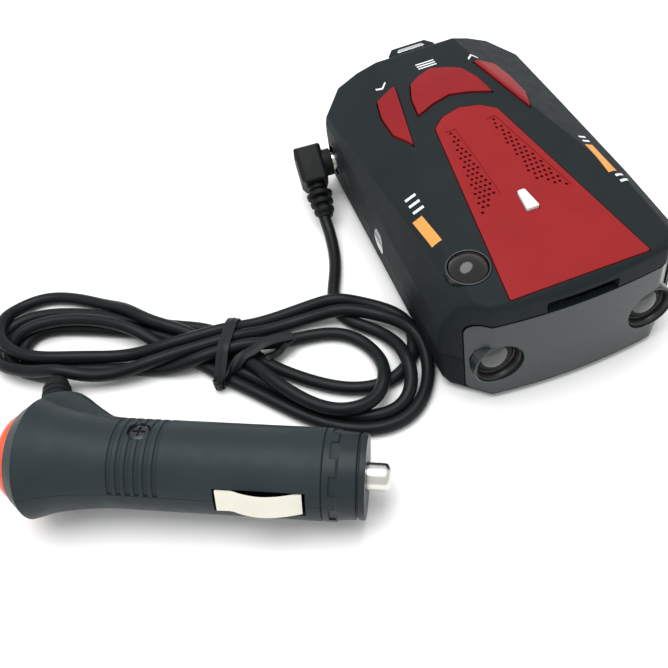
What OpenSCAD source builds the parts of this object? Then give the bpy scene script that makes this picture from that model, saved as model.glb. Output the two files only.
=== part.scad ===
// Windscreen radar and laser detector with its coiled 12 V lead.
// Millimetres. The origin is on the table under the middle of the detector:
// +Z is up, -Y is the windscreen end with the smoked window, +Y is the driver's end.

/* [Case] */
// Width over the side walls
body_w = 64; // [62:0.5:66]
// Length from the window to the rear wall
body_l = 104; // [102:0.5:106]
// Height of the flat top deck
deck_z = 33.3; // [32.5:0.1:34]
// Height of the joint between the two halves of the case
split_z = 13; // [12:0.5:14]
// Thickness of the case walls
wall = 2; // [1.8:0.1:2.2]
// Backward lean of the front face, in degrees
front_lean = 6; // [4:1:8]

/* [Window] */
// Half width of the smoked window
window_half = 27.2; // [26:0.2:28]
// Top edge of the window
window_top = 26.2; // [25:0.2:27]
// Distance of each laser lens from the middle
lens_x = 20; // [19:0.5:21]
// Height of the laser lenses
lens_z = 13; // [12.6:0.2:13.6]

/* [Top] */
// Thickness of the red panel
panel_t = 1.4; // [1.2:0.1:1.6]
// Height of the red panel above the deck
panel_proud = 0.2; // [0.1:0.1:0.4]
// Depth that the three buttons travel
button_travel = 0.6; // [0.4:0.1:0.8]
// Gap around each button
button_gap = 0.35; // [0.3:0.05:0.5]
// Radius of the round sensor lens on top
dome_r = 4.8; // [4.5:0.1:5]

/* [Plug] */
// Radius of the barrel that enters a 12 V socket
barrel_r = 10.5; // [10.4:0.05:10.6]
// Radius of the flared rim
rim_r = 14.2; // [13.5:0.1:14.6]

/* [Lead] */
// Diameter of the lead
cord_d = 3.5; // [3.4:0.1:3.6]
// Height of the tied hank
hank_h = 10.5; // [10:0.5:11]

/* [Hidden] */

half_w = body_w / 2;
front_y = -53.25;                 // lowest front edge, on the middle line
rear_y = front_y + body_l;        // rear wall
bump_y = 53.25;                   // end of the small tab on the rear wall
base_z = 0.8;                     // underside of the lower case, on top of its rubber pad
fit = 0.3;                        // gap between pieces that can move
inner_z = deck_z - wall;          // underside of the deck
panel_z = deck_z + panel_proud;   // face of the red panel
window_bottom = 2;
window_t = 1.8;
window_inset = 0.4;               // the window lies this far behind the case's front
window_corner = 4.5;              // radius of the window's upper corners
window_foot = 1.2;                // radius of its lower corners
brow = 1;                         // height of the dark gap above the window

// Outline of the case in plan, inset by i: [x, y] down one side
side_break_y = 11;                // the sides run parallel up to here
rear_taper = 0.4;                 // and then close in by this much
corner_y = 41.8;                    // start of the rear corners
corner_half = 23.8;               // half width of the rear wall
front_half = 22;                  // half width of the curved front
front_sag = 1.6;                  // how far the front curves back at front_half
front_corner_y = front_y + 10.5;  // end of the slanting front corners

function front_curve(x) = front_sag * pow(x / front_half, 2);
front_steps = [-5:5];

module plan_outline(i) {
    w = half_w - i;
    polygon([
        [-w, front_y - 10], [w, front_y - 10], [w, side_break_y],
        [w - rear_taper, corner_y], [corner_half - i / 2, rear_y - 0.1 - i], [8, rear_y - i],
        [-8, rear_y - i], [-corner_half + i / 2, rear_y - 0.1 - i],
        [-w + rear_taper, corner_y], [-w, side_break_y]
    ]);
}

// Front wall in plan: a shallow curve with slanting corners
module front_outline(i) {
    far = 90;
    chamfer_shift = i * 0.8;
    polygon(concat(
        [for (k = front_steps) let (x = k * front_half / 5) [x, front_y + i + front_curve(x)]],
        [
            [half_w + 6, front_corner_y + 5.5 + chamfer_shift], [half_w + 6, far],
            [-half_w - 6, far], [-half_w - 6, front_corner_y + 5.5 + chamfer_shift]
        ]
    ));
}

// The front wall as a prism that leans back from its lowest edge
module front_prism(i) {
    translate([0, front_y, base_z]) rotate([-front_lean, 0, 0]) translate([0, -front_y, -8])
        linear_extrude(height = 48) front_outline(i);
}

// Cross-section of the case, seen along its length
module cross_outline(i) {
    polygon([
        [-29.4 + i, base_z + i], [29.4 - i, base_z + i], [31.5 - i, 3.4 + i / 2], [half_w - i, split_z],
        [31.4 - i, 22], [29.6 - i, 26.6 - i / 2], [27.5 - i, 31.2 - i], [24.5 - i, deck_z - i],
        [-24.5 + i, deck_z - i], [-27.5 + i, 31.2 - i], [-29.6 + i, 26.6 - i / 2], [-31.4 + i, 22],
        [-half_w + i, split_z], [-31.5 + i, 3.4 + i / 2]
    ]);
}

// Side view of the case: the deck rolls over at both ends
module side_outline(i) {
    polygon([
        [-70, base_z + i], [70, base_z + i], [70, 26.6 - i], [rear_y - i, 28.2 - i], [rear_y - 2.4 - i, 32.4 - i],
        [rear_y - 20, deck_z - i], [-48.2 + i, deck_z - i], [-50.2 + i, 31.8 - i],
        [-51.2 + i, 28], [-70, 26]
    ]);
}

// The deck narrows towards the rear: a shoulder plane falls away on each side of it
deck_half_front = 26.5;           // half width of the deck at deck_front_y
deck_front_y = -38.25;
deck_half_rear = 9.8;             // half width of the deck at deck_rear_y
deck_rear_y = 51.25;
deck_yaw = atan((deck_half_front - deck_half_rear) / (deck_rear_y - deck_front_y));
shoulder_fall = 26;

module under_shoulder(side, i) {
    mirror([side < 0 ? 1 : 0, 0, 0])
        translate([deck_half_front, deck_front_y, deck_z - i])
            rotate([0, 0, deck_yaw])
                rotate([0, shoulder_fall, 0])
                    translate([-90, -60, -90])
                        cube([180, 220, 90]);
}

module case_solid(i) {
    intersection() {
        linear_extrude(height = 40) plan_outline(i);
        front_prism(i);
        rotate([90, 0, 0]) translate([0, 0, -70]) linear_extrude(height = 140) cross_outline(i);
        rotate([90, 0, 90]) translate([0, 0, -50]) linear_extrude(height = 100) side_outline(i);
        under_shoulder(1, i);
        under_shoulder(-1, i);
    }
}

module between(z0, z1) {
    intersection() {
        children();
        translate([-70, -70, z0]) cube([140, 140, z1 - z0]);
    }
}

// A slice of the front wall: between two depths, inside a rounded rectangle of the front view
module front_slice(depth, thickness, x_half, z0, z1) {
    intersection() {
        difference() {
            front_prism(depth);
            front_prism(depth + thickness);
        }
        translate([0, front_y + 20, 0]) rotate([90, 0, 0]) linear_extrude(height = 25) hull()
            for (side = [-1, 1]) {
                translate([side * (x_half - window_corner), z1 - window_corner]) circle(r = window_corner, $fn = 32);
                translate([side * (x_half - window_foot), z0 + window_foot]) circle(r = window_foot, $fn = 24);
            }
    }
}

// Places its children on the front face at a lens: +Z of the child points out of the window
module at_lens(side) {
    translate([side * lens_x, front_y + front_curve(lens_x) + (lens_z - base_z) * tan(front_lean), lens_z])
        rotate([90 - front_lean, 0, 0])
            children();
}

// ---- outlines of the top pieces -------------------------------------------------
function mirror_x(p) = [for (q = p) [-q[0], q[1]]];

panel_points = [[17.4, -47.8], [9.1, 12.2], [5.5, 15.6], [0, 17.2], [-5.5, 15.6], [-9.1, 12.2], [-17.4, -47.8]];
menu_points = [
    [10.9, 19], [10, 26], [7.8, 32.2], [4.6, 34.6], [0, 36.6], [-4.6, 34.6], [-7.8, 32.2],
    [-10, 26], [-10.9, 19], [-5.6, 21.7], [0, 23.3], [5.6, 21.7]
];
fin_points = [[12.1, 33.4], [18, 32.2], [19.4, 25], [19.4, 16], [16.8, 8.6]];

module top_hole(points, gap) {
    translate([0, 0, 20]) linear_extrude(height = 20) offset(delta = gap) polygon(points);
}

// ---- case ----------------------------------------------------------------------
slot_half = 9;                    // half width of the bracket slot
slot_z = 27;
slot_h = 3.2;
jack_y = 36.7;
jack_z = 11.7;
jack_r = 4.4;
screw_x = 24;
screw_rows = [-22, 29];
boss_r = 3.2;
screw_r = 1;
display_half = 21;
display_z0 = 15;
display_z1 = 26.4;
speaker_opening = [[-11.2, -19.5], [11.2, -19.5], [8.4, 9.5], [-8.4, 9.5]];
dome_x = -21.6;
dome_y = -35.1;
dome_ring_r = 5.4;
badge_z = 31.2;

module screw_places() {
    for (x = [-screw_x, screw_x], y = screw_rows) translate([x, y, 0]) children();
}

// Small visor over the display
module rear_tab() {
    translate([0, 0, display_z1 + 0.5]) linear_extrude(height = badge_z - display_z1 - 0.5)
        polygon([[-7.3, rear_y - 3], [7.3, rear_y - 3], [7.3, rear_y - 0.2], [5.3, bump_y], [-5.3, bump_y], [-7.3, rear_y - 0.2]]);
}

module upper_case() {
    color([0.07, 0.075, 0.075])
    difference() {
        union() {
            between(split_z, 40) difference() {
                case_solid(0);
                case_solid(wall);
            }
            between(split_z, 40) rear_tab();
            intersection() {
                screw_places() translate([0, 0, split_z]) cylinder(r = boss_r, h = 20, $fn = 40);
                case_solid(wall - 0.5);
            }
        }
        screw_places() translate([0, 0, split_z - 1]) cylinder(r = screw_r + 0.05, h = 8, $fn = 24);
        front_slice(-3, 3 + window_inset + window_t + 0.1, window_half + 0.15, window_bottom - 0.15, window_top + brow);
        translate([-window_half + 2, front_y - 2, split_z - 1]) cube([2 * window_half - 4, 9, window_top - split_z - 1]);
        translate([-slot_half, front_y - 1, slot_z]) cube([2 * slot_half, 8, slot_h]);
        translate([0, 0, deck_z - panel_t + panel_proud]) linear_extrude(height = 6) offset(delta = 0.1) polygon(panel_points);
        translate([0, 0, inner_z - 2]) linear_extrude(height = 5) polygon(speaker_opening);
        top_hole(menu_points, button_gap);
        top_hole(fin_points, button_gap);
        top_hole(mirror_x(fin_points), button_gap);
        translate([dome_x, dome_y, inner_z - 4]) cylinder(r = dome_ring_r + 0.05, h = 10, $fn = 48);
        translate([-display_half - 0.1, rear_y - 4, display_z0 - 0.1]) cube([2 * display_half + 0.2, 8, display_z1 - display_z0 + 0.2]);
        jack_bore(jack_r + 0.1);
        sticker_shape(0.05, 0.3);
        badge_shape(0.05);
    }
}

module lower_case() {
    color([0.08, 0.085, 0.085])
    difference() {
        union() {
            between(0, split_z - 0.02) difference() {
                case_solid(0);
                translate([0, 0, 0.4]) case_solid(wall);
            }
            intersection() {
                screw_places() cylinder(r = boss_r, h = split_z - 0.02, $fn = 40);
                case_solid(wall - 0.5);
            }
        }
        screw_places() cylinder(r = screw_r + 0.25, h = 20, $fn = 24);
        screw_places() translate([0, 0, -1]) cylinder(r = 2.3, h = 4.4, $fn = 32);
        front_slice(-3, 3 + window_inset + window_t + 0.1, window_half + 0.15, window_bottom - 0.15, window_top + brow);
        translate([-window_half + 2, front_y - 2, window_bottom + 2]) cube([2 * window_half - 4, 9, split_z]);
        jack_bore(jack_r + 0.1);
        label_shape(0.05, 0.4);
        sticker_shape(0.05, 0.3);
    }
}

// ---- front window and laser optics ----------------------------------------------
lens_hole_r = 6.1;
lens_r = 4.6;

module front_window() {
    color([0.22, 0.23, 0.23, 0.85])
    difference() {
        front_slice(window_inset, window_t, window_half, window_bottom, window_top);
        for (side = [-1, 1]) at_lens(side) translate([0, 0, -10]) cylinder(r = lens_hole_r, h = 20, $fn = 48);
    }
}

// Cone-shaped ring that steps down from the window to the lens
module lens_bezel(side) {
    intersection() {
        at_lens(side) translate([0, 0, -4.6]) difference() {
            cylinder(r = lens_hole_r - 0.05, h = 3.8, $fn = 48);
            translate([0, 0, 1.2]) cylinder(r1 = lens_r + 0.05, r2 = lens_hole_r - 0.5, h = 3, $fn = 48);
            translate([0, 0, -1]) cylinder(r = lens_r + 0.05, h = 4, $fn = 48);
        }
        front_prism(window_inset + 0.2);
    }
}

module front_lens(side) {
    ball = 6.4;
    at_lens(side) intersection() {
        translate([0, 0, -4.6]) cylinder(r = lens_r, h = 5, $fn = 48);
        translate([0, 0, -1.6 - ball]) sphere(r = ball, $fn = 64);
    }
}

module lens_bezel_left() {
    color([0.12, 0.12, 0.12]) lens_bezel(-1);
}

module lens_bezel_right() {
    color([0.12, 0.12, 0.12]) lens_bezel(1);
}

module front_lens_left() {
    color([0.35, 0.37, 0.38, 0.6]) front_lens(-1);
}

module front_lens_right() {
    color([0.35, 0.37, 0.38, 0.6]) front_lens(1);
}

sensor_board_y = -42;

module laser_sensor_board() {
    color([0.05, 0.3, 0.16])
    translate([-25, sensor_board_y, 6]) difference() {
        cube([50, 1, 15]);
        translate([11.5, -1, -1]) cube([27, 3, 13]);
    }
}

module laser_photodiodes() {
    color([0.04, 0.04, 0.05])
    for (side = [-1, 1]) translate([side * lens_x - 2.5, sensor_board_y - 1.6, lens_z - 2.5]) cube([5, 1.6, 5]);
}

// ---- red panel and its light -----------------------------------------------------
light_y = -22;

// Places of the speaker perforations: two slanting fields of staggered holes
hole_r = 0.5;
field_rows = 13;
row_step = 2.3;
hole_step = 1.9;

module perforations() {
    for (side = [-1, 1], row = [0:field_rows - 1]) {
        far = row / (field_rows - 1);
        count = row < 2 ? 1 : (row > 10 ? 3 : 4);
        for (k = [0:count - 1])
            translate([side * (9.2 - 5.2 * far - (k - (count - 1) / 2) * hole_step * -0.8), -18.5 + row * row_step, 0])
                cylinder(r = hole_r, h = 10, center = true, $fn = 6);
    }
}

module top_panel() {
    color([0.72, 0.06, 0.07])
    difference() {
        translate([0, 0, panel_z - panel_t]) linear_extrude(height = panel_t) polygon(panel_points);
        translate([0, 0, panel_z]) perforations();
        translate([0, light_y, panel_z - 0.8]) linear_extrude(height = 2) light_outline(0.05);
    }
}

module light_outline(gap) {
    polygon([[-1.7 - gap, -3.3 - gap], [1.7 + gap, -3.3 - gap], [1 + gap, 3.3 + gap], [-1 - gap, 3.3 + gap]]);
}

module status_light() {
    color([0.85, 0.86, 0.86])
    translate([0, light_y, panel_z - 0.8]) linear_extrude(height = 1.7) light_outline(0);
}

// ---- three buttons ---------------------------------------------------------------
button_proud = 0.5;               // height of a button above the case at rest
stem_r = 1.6;
switch_top = 25.2;                // top of the tact switches
press_room = 0.3;                 // left between stem and switch when a button is down

// A button stands a little above the case and follows its slopes
module button(points, flange_top, place) {
    stem_bottom = switch_top + button_travel + press_room;
    intersection() {
        translate([0, 0, flange_top - 1]) linear_extrude(height = 10) polygon(points);
        translate([0, 0, button_proud]) case_solid(0);
    }
    translate([0, 0, flange_top - 1]) linear_extrude(height = 1) offset(delta = button_gap + 0.7) polygon(points);
    translate([place[0], place[1], stem_bottom]) cylinder(r = stem_r, h = flange_top - 0.5 - stem_bottom, $fn = 32);
}

menu_place = [0, 28];
fin_place = [16.8, 23];

module menu_button() {
    color([0.72, 0.06, 0.07])
    button(menu_points, 30, menu_place);
}

module up_button() {
    color([0.72, 0.06, 0.07])
    button(fin_points, 27.6, fin_place);
}

module down_button() {
    color([0.72, 0.06, 0.07])
    button(mirror_x(fin_points), 27.6, [-fin_place[0], fin_place[1]]);
}

module button_switches() {
    color([0.1, 0.1, 0.1])
    for (p = [menu_place, fin_place, [-fin_place[0], fin_place[1]]]) translate([p[0], p[1], board_z + board_t]) {
        translate([-3, -3, 0]) cube([6, 6, 3.4]);
        translate([0, 0, 3.4]) cylinder(r = 1.7, h = switch_top - board_z - board_t - 3.4, $fn = 32);
    }
}

// ---- dome sensor, badge, sticker ----------------------------------------------------
module dome_ring() {
    color([0.1, 0.1, 0.1])
    translate([dome_x, dome_y, inner_z - 0.6]) difference() {
        cylinder(r = dome_ring_r, h = wall + 0.8, $fn = 48);
        translate([0, 0, -1]) cylinder(r = dome_r + 0.05, h = 6, $fn = 48);
    }
}

module dome_lens() {
    ball = 6;
    color([0.3, 0.3, 0.32, 0.6])
    translate([dome_x, dome_y, inner_z - 0.6]) {
        cylinder(r = dome_r, h = 2.5, $fn = 48);
        translate([0, 0, 2.5]) intersection() {
            translate([0, 0, -sqrt(ball * ball - dome_r * dome_r)]) sphere(r = ball, $fn = 64);
            cylinder(r = dome_r, h = 4, $fn = 48);
        }
    }
}

module dome_sensor() {
    color([0.05, 0.05, 0.06])
    translate([dome_x, dome_y, board_z + board_t]) {
        translate([-2.5, -2.5, 0]) cube([5, 5, 7]);
        translate([0, 0, 7]) cylinder(r = 2, h = 1.5, $fn = 32);
    }
}

module badge_shape(gap) {
    translate([0, bump_y - 2.2, 0]) linear_extrude(height = 31)
        polygon([[-4.5 - gap, -0.6 - gap], [4.5 + gap, -0.6 - gap], [3.7 + gap, 0.8 + gap], [-3.7 - gap, 0.8 + gap]]);
}

module rear_badge() {
    color([0.8, 0.81, 0.82])
    intersection() {
        badge_shape(0);
        translate([-10, bump_y - 5, badge_z - 0.6]) cube([20, 5, 0.7]);
    }
}

sticker_y = -1;
sticker_z = split_z;

module sticker_shape(gap, depth) {
    translate([-half_w - 2, sticker_y, sticker_z]) rotate([0, 90, 0])
        intersection() {
            translate([0, -2.2, 0]) cylinder(r = 5.2 + gap, h = 6, $fn = 48);
            translate([0, 2.2, 0]) cylinder(r = 5.2 + gap, h = 6, $fn = 48);
            translate([-3.6, -8, 2]) cube([7.2, 16, 0.4 + depth]);
        }
}

module side_sticker() {
    color([0.8, 0.82, 0.83])
    intersection() {
        sticker_shape(0, 0.3);
        case_solid(0);
    }
}

// ---- inside the case -------------------------------------------------------------
board_z = 18;
board_t = 1.6;
board_half = 26;

module main_circuit_board() {
    color([0.05, 0.3, 0.16])
    translate([0, 0, board_z]) difference() {
        linear_extrude(height = board_t)
            polygon([[-board_half, -39], [board_half, -39], [board_half, 26], [20, 40], [-20, 40], [-board_half, 26]]);
        screw_places() translate([0, 0, -1]) cylinder(r = boss_r + 0.3, h = 5, $fn = 32);
    }
}

horn_half = 11;
horn_y0 = -46;
horn_y1 = 4;
horn_z0 = 4;
horn_z1 = 17.6;

module horn_antenna() {
    color([0.62, 0.63, 0.64])
    difference() {
        translate([-horn_half, horn_y0, horn_z0]) cube([2 * horn_half, horn_y1 - horn_y0, horn_z1 - horn_z0]);
        translate([0, 0, horn_z0 + 1.5]) linear_extrude(height = horn_z1 - horn_z0 - 3)
            polygon([[-horn_half + 1.5, horn_y0 - 1], [horn_half - 1.5, horn_y0 - 1], [4.5, horn_y0 + 26],
                [4.5, horn_y1 - 2], [-4.5, horn_y1 - 2], [-4.5, horn_y0 + 26]]);
    }
}

module microwave_board() {
    color([0.75, 0.62, 0.2])
    translate([-horn_half, horn_y1 + 1, horn_z0]) cube([2 * horn_half, 24, 1.2]);
}

speaker_y = -4;
speaker_z = 23;
speaker_r = 13.5;

module speaker_frame() {
    color([0.3, 0.31, 0.32])
    translate([0, speaker_y, speaker_z]) difference() {
        cylinder(r = speaker_r, h = 6.6, $fn = 64);
        translate([0, 0, 1.2]) cylinder(r = speaker_r - 1.2, h = 8, $fn = 64);
        translate([0, 0, -1]) cylinder(r = 6.3, h = 4, $fn = 48);
    }
}

module speaker_cone() {
    color([0.15, 0.14, 0.13])
    translate([0, speaker_y, speaker_z + 3]) rotate_extrude($fn = 64)
        polygon([[0, 0], [3.6, 0], [speaker_r - 1.4, 2.8], [speaker_r - 1.4, 3.4], [3.4, 0.8], [0, 1.6]]);
}

module speaker_magnet() {
    color([0.5, 0.5, 0.52])
    translate([0, speaker_y, speaker_z - 2.6]) cylinder(r = 6.2, h = 5, $fn = 48);
}

module led_display() {
    color([0.08, 0.08, 0.09])
    translate([-18, rear_y - 10.6, board_z + board_t]) cube([36, 6, 6.2]);
}

module display_window() {
    color([0.25, 0.05, 0.05, 0.8])
    intersection() {
        difference() {
            case_solid(0.2);
            case_solid(0.2 + 1.4);
        }
        translate([-display_half, rear_y - 4, display_z0]) cube([2 * display_half, 8, display_z1 - display_z0]);
    }
}

module case_screws() {
    color([0.75, 0.76, 0.77])
    screw_places() {
        translate([0, 0, 3.4 - 1.4]) difference() {
            cylinder(r = 1.9, h = 1.4, $fn = 32);
            for (a = [0, 90]) rotate([0, 0, a]) translate([-1.2, -0.25, -0.1]) cube([2.4, 0.5, 0.8]);
        }
        translate([0, 0, 3.4]) cylinder(r = screw_r, h = split_z + 6 - 3.4, $fn = 24);
    }
}

label_y = 36;

module label_shape(gap, depth) {
    translate([-16 - gap, label_y - 6 - gap, base_z - 1]) cube([32 + 2 * gap, 12 + 2 * gap, 1 + depth]);
}

module rating_label() {
    color([0.78, 0.78, 0.76])
    translate([-16, label_y - 6, base_z + 0.1]) cube([32, 12, 0.3]);
}

module anti_slip_pad() {
    color([0.05, 0.05, 0.05])
    linear_extrude(height = base_z)
        polygon([[-18, -38], [18, -38], [21, -35], [21, 25], [18, 28], [-18, 28], [-21, 25], [-21, -35]]);
}

// ---- power jack and its angled plug ---------------------------------------------------
jack_yaw = 5;                     // the jack looks this much towards the rear
arm_pitch = 24;                   // droop of the angled plug's arm
jack_wall_x = -31.6;              // outer face of the wall at the jack
dc_r = 2.75;
plug_out = 7.4;                   // from the wall to the middle of the angled plug
arm_back = 5.4;
arm_front = 6.6;

// +Z of the child points out of the side wall, +X of it runs towards the rear and up
module at_jack() {
    translate([jack_wall_x, jack_y, jack_z])
        rotate([0, 0, -jack_yaw])
            rotate([0, -90, 0])
                children();
}

module jack_bore(r) {
    at_jack() translate([0, 0, -12]) cylinder(r = r, h = 20, $fn = 48);
}

module dc_jack() {
    color([0.06, 0.06, 0.06])
    at_jack() difference() {
        union() {
            translate([0, 0, -5.4]) cylinder(r = jack_r, h = 4.8, $fn = 48);
            translate([-5.2, -3.4, -13.5]) cube([9.2, 7.8, 8.3]);
        }
        translate([0, 0, -12]) cylinder(r = dc_r + 0.1, h = 14, $fn = 40);
    }
}

module dc_plug_barrel() {
    color([0.8, 0.8, 0.8])
    at_jack() difference() {
        translate([0, 0, -9.5]) cylinder(r = dc_r, h = 10.5, $fn = 40);
        translate([0, 0, -10]) cylinder(r = 1.1, h = 9, $fn = 32);
    }
}

// +Z of the child is the arm's direction, the origin is where it crosses the jack's axis
module at_arm() {
    at_jack() translate([0, 0, plug_out]) rotate([0, 0, -arm_pitch]) rotate([90, 0, 0]) children();
}

module dc_plug_body() {
    half_t = 4.1;
    color([0.07, 0.07, 0.07])
    difference() {
        union() {
            at_jack() translate([0, 0, 1]) cylinder(r = 4, h = 2.6, $fn = 40);
            at_arm() translate([0, 0, -arm_back]) linear_extrude(height = arm_back + arm_front)
                polygon([[-4.6, -half_t], [3.4, -half_t], [4.6, -half_t + 1.2], [4.6, half_t - 1.2],
                    [3.4, half_t], [-4.6, half_t]]);
        }
        at_jack() cylinder(r = dc_r + 0.02, h = 1, $fn = 40);
    }
}

module dc_strain_relief() {
    color([0.07, 0.07, 0.07])
    at_arm() translate([0, 0, arm_front]) rotate_extrude($fn = 40)
        polygon([[0, 0], [2.9, 0], [2.9, 1.4], [2.4, 1.4], [2.4, 2.6], [3.9, 2.6], [3.8, 3.9], [2.4, 3.9],
            [2.4, 5.1], [3.5, 5.1], [3.4, 6.4], [2.4, 6.4], [2.4, 7.6], [3.1, 7.6], [3, 10.4], [0, 10.4]]);
}

// ---- lead ---------------------------------------------------------------------------
cord_sides = 8;

// Unit vector from a to b
function unit(a, b) = (b - a) / norm(b - a);
// Direction of the route at point k
function tangent(path, k) = unit(path[max(k - 1, 0)], path[min(k + 1, len(path) - 1)]);
function side_of(t) = let (s = cross(t, [0, 0, 1])) s / norm(s);
function ring(path, k, r, sides) =
    let (t = tangent(path, k), s = side_of(t), n = cross(s, t))
    [for (j = [0:sides - 1]) let (a = 360 * j / sides) path[k] + r * (cos(a) * s + sin(a) * n)];

// Closed tube along a list of points
module sweep_tube(path, r, sides) {
    last = len(path) - 1;
    polyhedron(
        points = [for (k = [0:last]) each ring(path, k, r, sides)],
        faces = concat(
            [[for (j = [sides - 1:-1:0]) j]],
            [for (k = [0:last - 1], j = [0:sides - 1])
                let (a = k * sides, n = (j + 1) % sides)
                each [[a + j, a + sides + n, a + sides + j], [a + j, a + n, a + sides + n]]],
            [[for (j = [0:sides - 1]) last * sides + j]]
        ),
        convexity = 4
    );
}

// Route of the lead from the angled plug to the hank
lead_route = [
    [-40.8, 21.8, 4.8], [-41, 17.8, 3.1], [-41.3, 14, 2.1], [-41.9, 10, 1.8], [-43.1, 5.8, 1.8],
    [-45, 1.2, 1.8], [-47, -2, 1.8], [-48.6, -4.6, 1.8]
];

// Route from the hank to the lighter plug's strain relief
tail_route = [[-125.9, -4.5, 4.9], [-125.9, -2.6, 4.1], [-126.5, 0, 3], [-127.9, 2, 2.1]];

module lead_cord() {
    color([0.08, 0.08, 0.08])
    sweep_tube(lead_route, cord_d / 2, cord_sides);
}

module tail_cord() {
    color([0.08, 0.08, 0.08])
    sweep_tube(tail_route, cord_d / 2, cord_sides);
}

hank_pos = [-80.6, -12];
hank_yaw = -29;
hank_wall_x = -32.3;              // the hank stops just short of the detector's side
tie_w = 3.2;
tie_t = 0.8;
tie_v0 = -7.6;                    // the tie's near and far sides across the hank
tie_v1 = 9.6;
tie_top = 8.2;                    // inside height of the tie, which squeezes the hank

module hank_outline() {
    waist_r = 8;
    intersection() {
        translate(hank_pos) rotate([0, 0, hank_yaw]) union() {
            hull() {
                translate([-56.2, 2.1]) circle(r = 15.5, $fn = 48);
                translate([-1, 1]) circle(r = waist_r, $fn = 32);
            }
            hull() {
                translate([34, 1.8]) circle(r = 22.4, $fn = 64);
                translate([1, 1]) circle(r = waist_r, $fn = 32);
            }
        }
        translate([hank_wall_x - 150, -100]) square([150, 200]);
    }
}

module at_tie() {
    translate([hank_pos[0], hank_pos[1], 0]) rotate([0, 0, hank_yaw]) children();
}

module hank_cord() {
    color([0.08, 0.08, 0.08])
    difference() {
        linear_extrude(height = hank_h) hank_outline();
        at_tie() difference() {
            translate([-tie_w / 2, -30, -1]) cube([tie_w, 60, hank_h + 2]);
            translate([-tie_w, tie_v0 + tie_t, tie_t]) cube([2 * tie_w, tie_v1 - tie_v0 - 2 * tie_t, tie_top - tie_t]);
        }
    }
}

// Flat strap round the hank, with its twisted knot and one loose end
module hank_tie() {
    color([0.1, 0.1, 0.1])
    at_tie() {
        difference() {
            translate([-tie_w / 2, tie_v0, 0]) cube([tie_w, tie_v1 - tie_v0, tie_top + tie_t]);
            translate([-tie_w, tie_v0 + tie_t, tie_t]) cube([2 * tie_w, tie_v1 - tie_v0 - 2 * tie_t, tie_top - tie_t]);
        }
        translate([-1.5, tie_v0 - 3.4, 4]) cube([3, 3.5, 4.2]);
    }
}

// ---- plug for the 12 V socket --------------------------------------------------------------
// Local frame: +X along the barrel to the nose, +Z out of the screw, +Y to the cord's side
plug_pos = [-132, -30.6, 14.25];
plug_yaw = -24;
plug_tilt = 2.8;
plug_roll = 20;
shell_t = 1.8;
rim_s = 1.2;                      // where the rim stands along the barrel
barrel_s = 70.6;                  // end of the two shells, from the rim
nose_s = 80;                    // end of the nose cap
pin_tip = 85.6;
pin_r = 3.2;
relief_lean = 21.5;                // the strain relief leans back from square
relief_root = 6;                  // where the strain relief's axis leaves the barrel's
relief_seat = 16.6;               // its inner end
mouth = 21;                       // end of the branch that holds it
relief_tip = 30;
boot_r = 3.8;                     // radius of the strain relief where it is held

module at_plug() {
    translate(plug_pos) rotate([0, 0, plug_yaw]) rotate([-plug_roll, 0, 0]) rotate([0, plug_tilt, 0]) children();
}

// Body of revolution about the barrel's axis, from half profiles of [radius, distance from the rim]
module turned() {
    at_plug() rotate([0, 90, 0]) rotate_extrude($fn = 96) children();
}

module at_relief() {
    at_plug() translate([relief_root, 0, 0]) rotate([0, 0, relief_lean]) rotate([-90, 0, 0]) children();
}

screw_s = 28.2;
groove_s = 22.4;
groove_step = 2.1;
grooves = 6;

module shell_outside(grooved) {
    groove_points = [for (k = [0:grooves - 1]) each [
        [barrel_r, groove_s + k * groove_step], [barrel_r - 0.4, groove_s + k * groove_step + 0.4],
        [barrel_r - 0.4, groove_s + k * groove_step + 0.8], [barrel_r, groove_s + k * groove_step + 1.2]
    ]];
    polygon(concat(
        [[0, rim_s + 0.05], [rim_r, rim_s + 0.05], [13.4, 4], [12.6, 6.8], [12, 9.6], [11.4, 13], [10.9, 17], [barrel_r, 22]],
        grooved ? groove_points : [],
        [[barrel_r, barrel_s], [0, barrel_s]]
    ));
}

module shell_inside() {
    polygon([[0, -1], [rim_r - shell_t, -1], [rim_r - shell_t, rim_s + 0.05], [11.5, 4], [10.2, 9.6],
        [barrel_r - shell_t, 22], [barrel_r - shell_t, barrel_s + 1], [0, barrel_s + 1]]);
}

// Branch that holds the strain relief, split along with the shells
module cord_branch() {
    branch_t = 10.4;
    at_plug() translate([0, 0, -branch_t / 2]) linear_extrude(height = branch_t)
        polygon([
            [2.4, 8], [1.4, 14.2], [-5.6, 17.9], [2.6, 21.2], [5.8, 20.6], [9, 18.4], [13.2, 14.8],
            [17.5, 12.2], [23, 9.8], [20, 8]
        ]);
}

leaf_w = 6;
slot_half_w = leaf_w / 2 + 0.35;

module leaf_slot(side) {
    at_plug() translate([46.6, side > 0 ? 6 : -14, -slot_half_w]) cube([20.6, 8, 2 * slot_half_w]);
}

module plug_shell(upper) {
    difference() {
        union() {
            turned() shell_outside(upper);
            cord_branch();
        }
        turned() shell_inside();
        leaf_slot(1);
        leaf_slot(-1);
        at_relief() translate([0, 0, relief_seat - 0.2]) cylinder(r = boot_r + 0.05, h = 20, $fn = 40);
        at_relief() translate([0, 0, 8]) cylinder(r = cord_d / 2 + 0.15, h = 12, $fn = 32);
        at_plug() translate([-20, -40, upper ? -60 : -0.02]) cube([110, 80, 60.02]);
        if (upper) at_plug() translate([screw_s, 0, 0]) {
            cylinder(r = 1.35, h = 20, $fn = 32);
            translate([0, 0, barrel_r - 1.5]) cylinder(r = 2.7, h = 6, $fn = 32);
        }
    }
}

module plug_shell_upper() {
    color([0.09, 0.095, 0.095])
    plug_shell(true);
}

module plug_shell_lower() {
    color([0.09, 0.095, 0.095])
    plug_shell(false);
}

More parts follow.
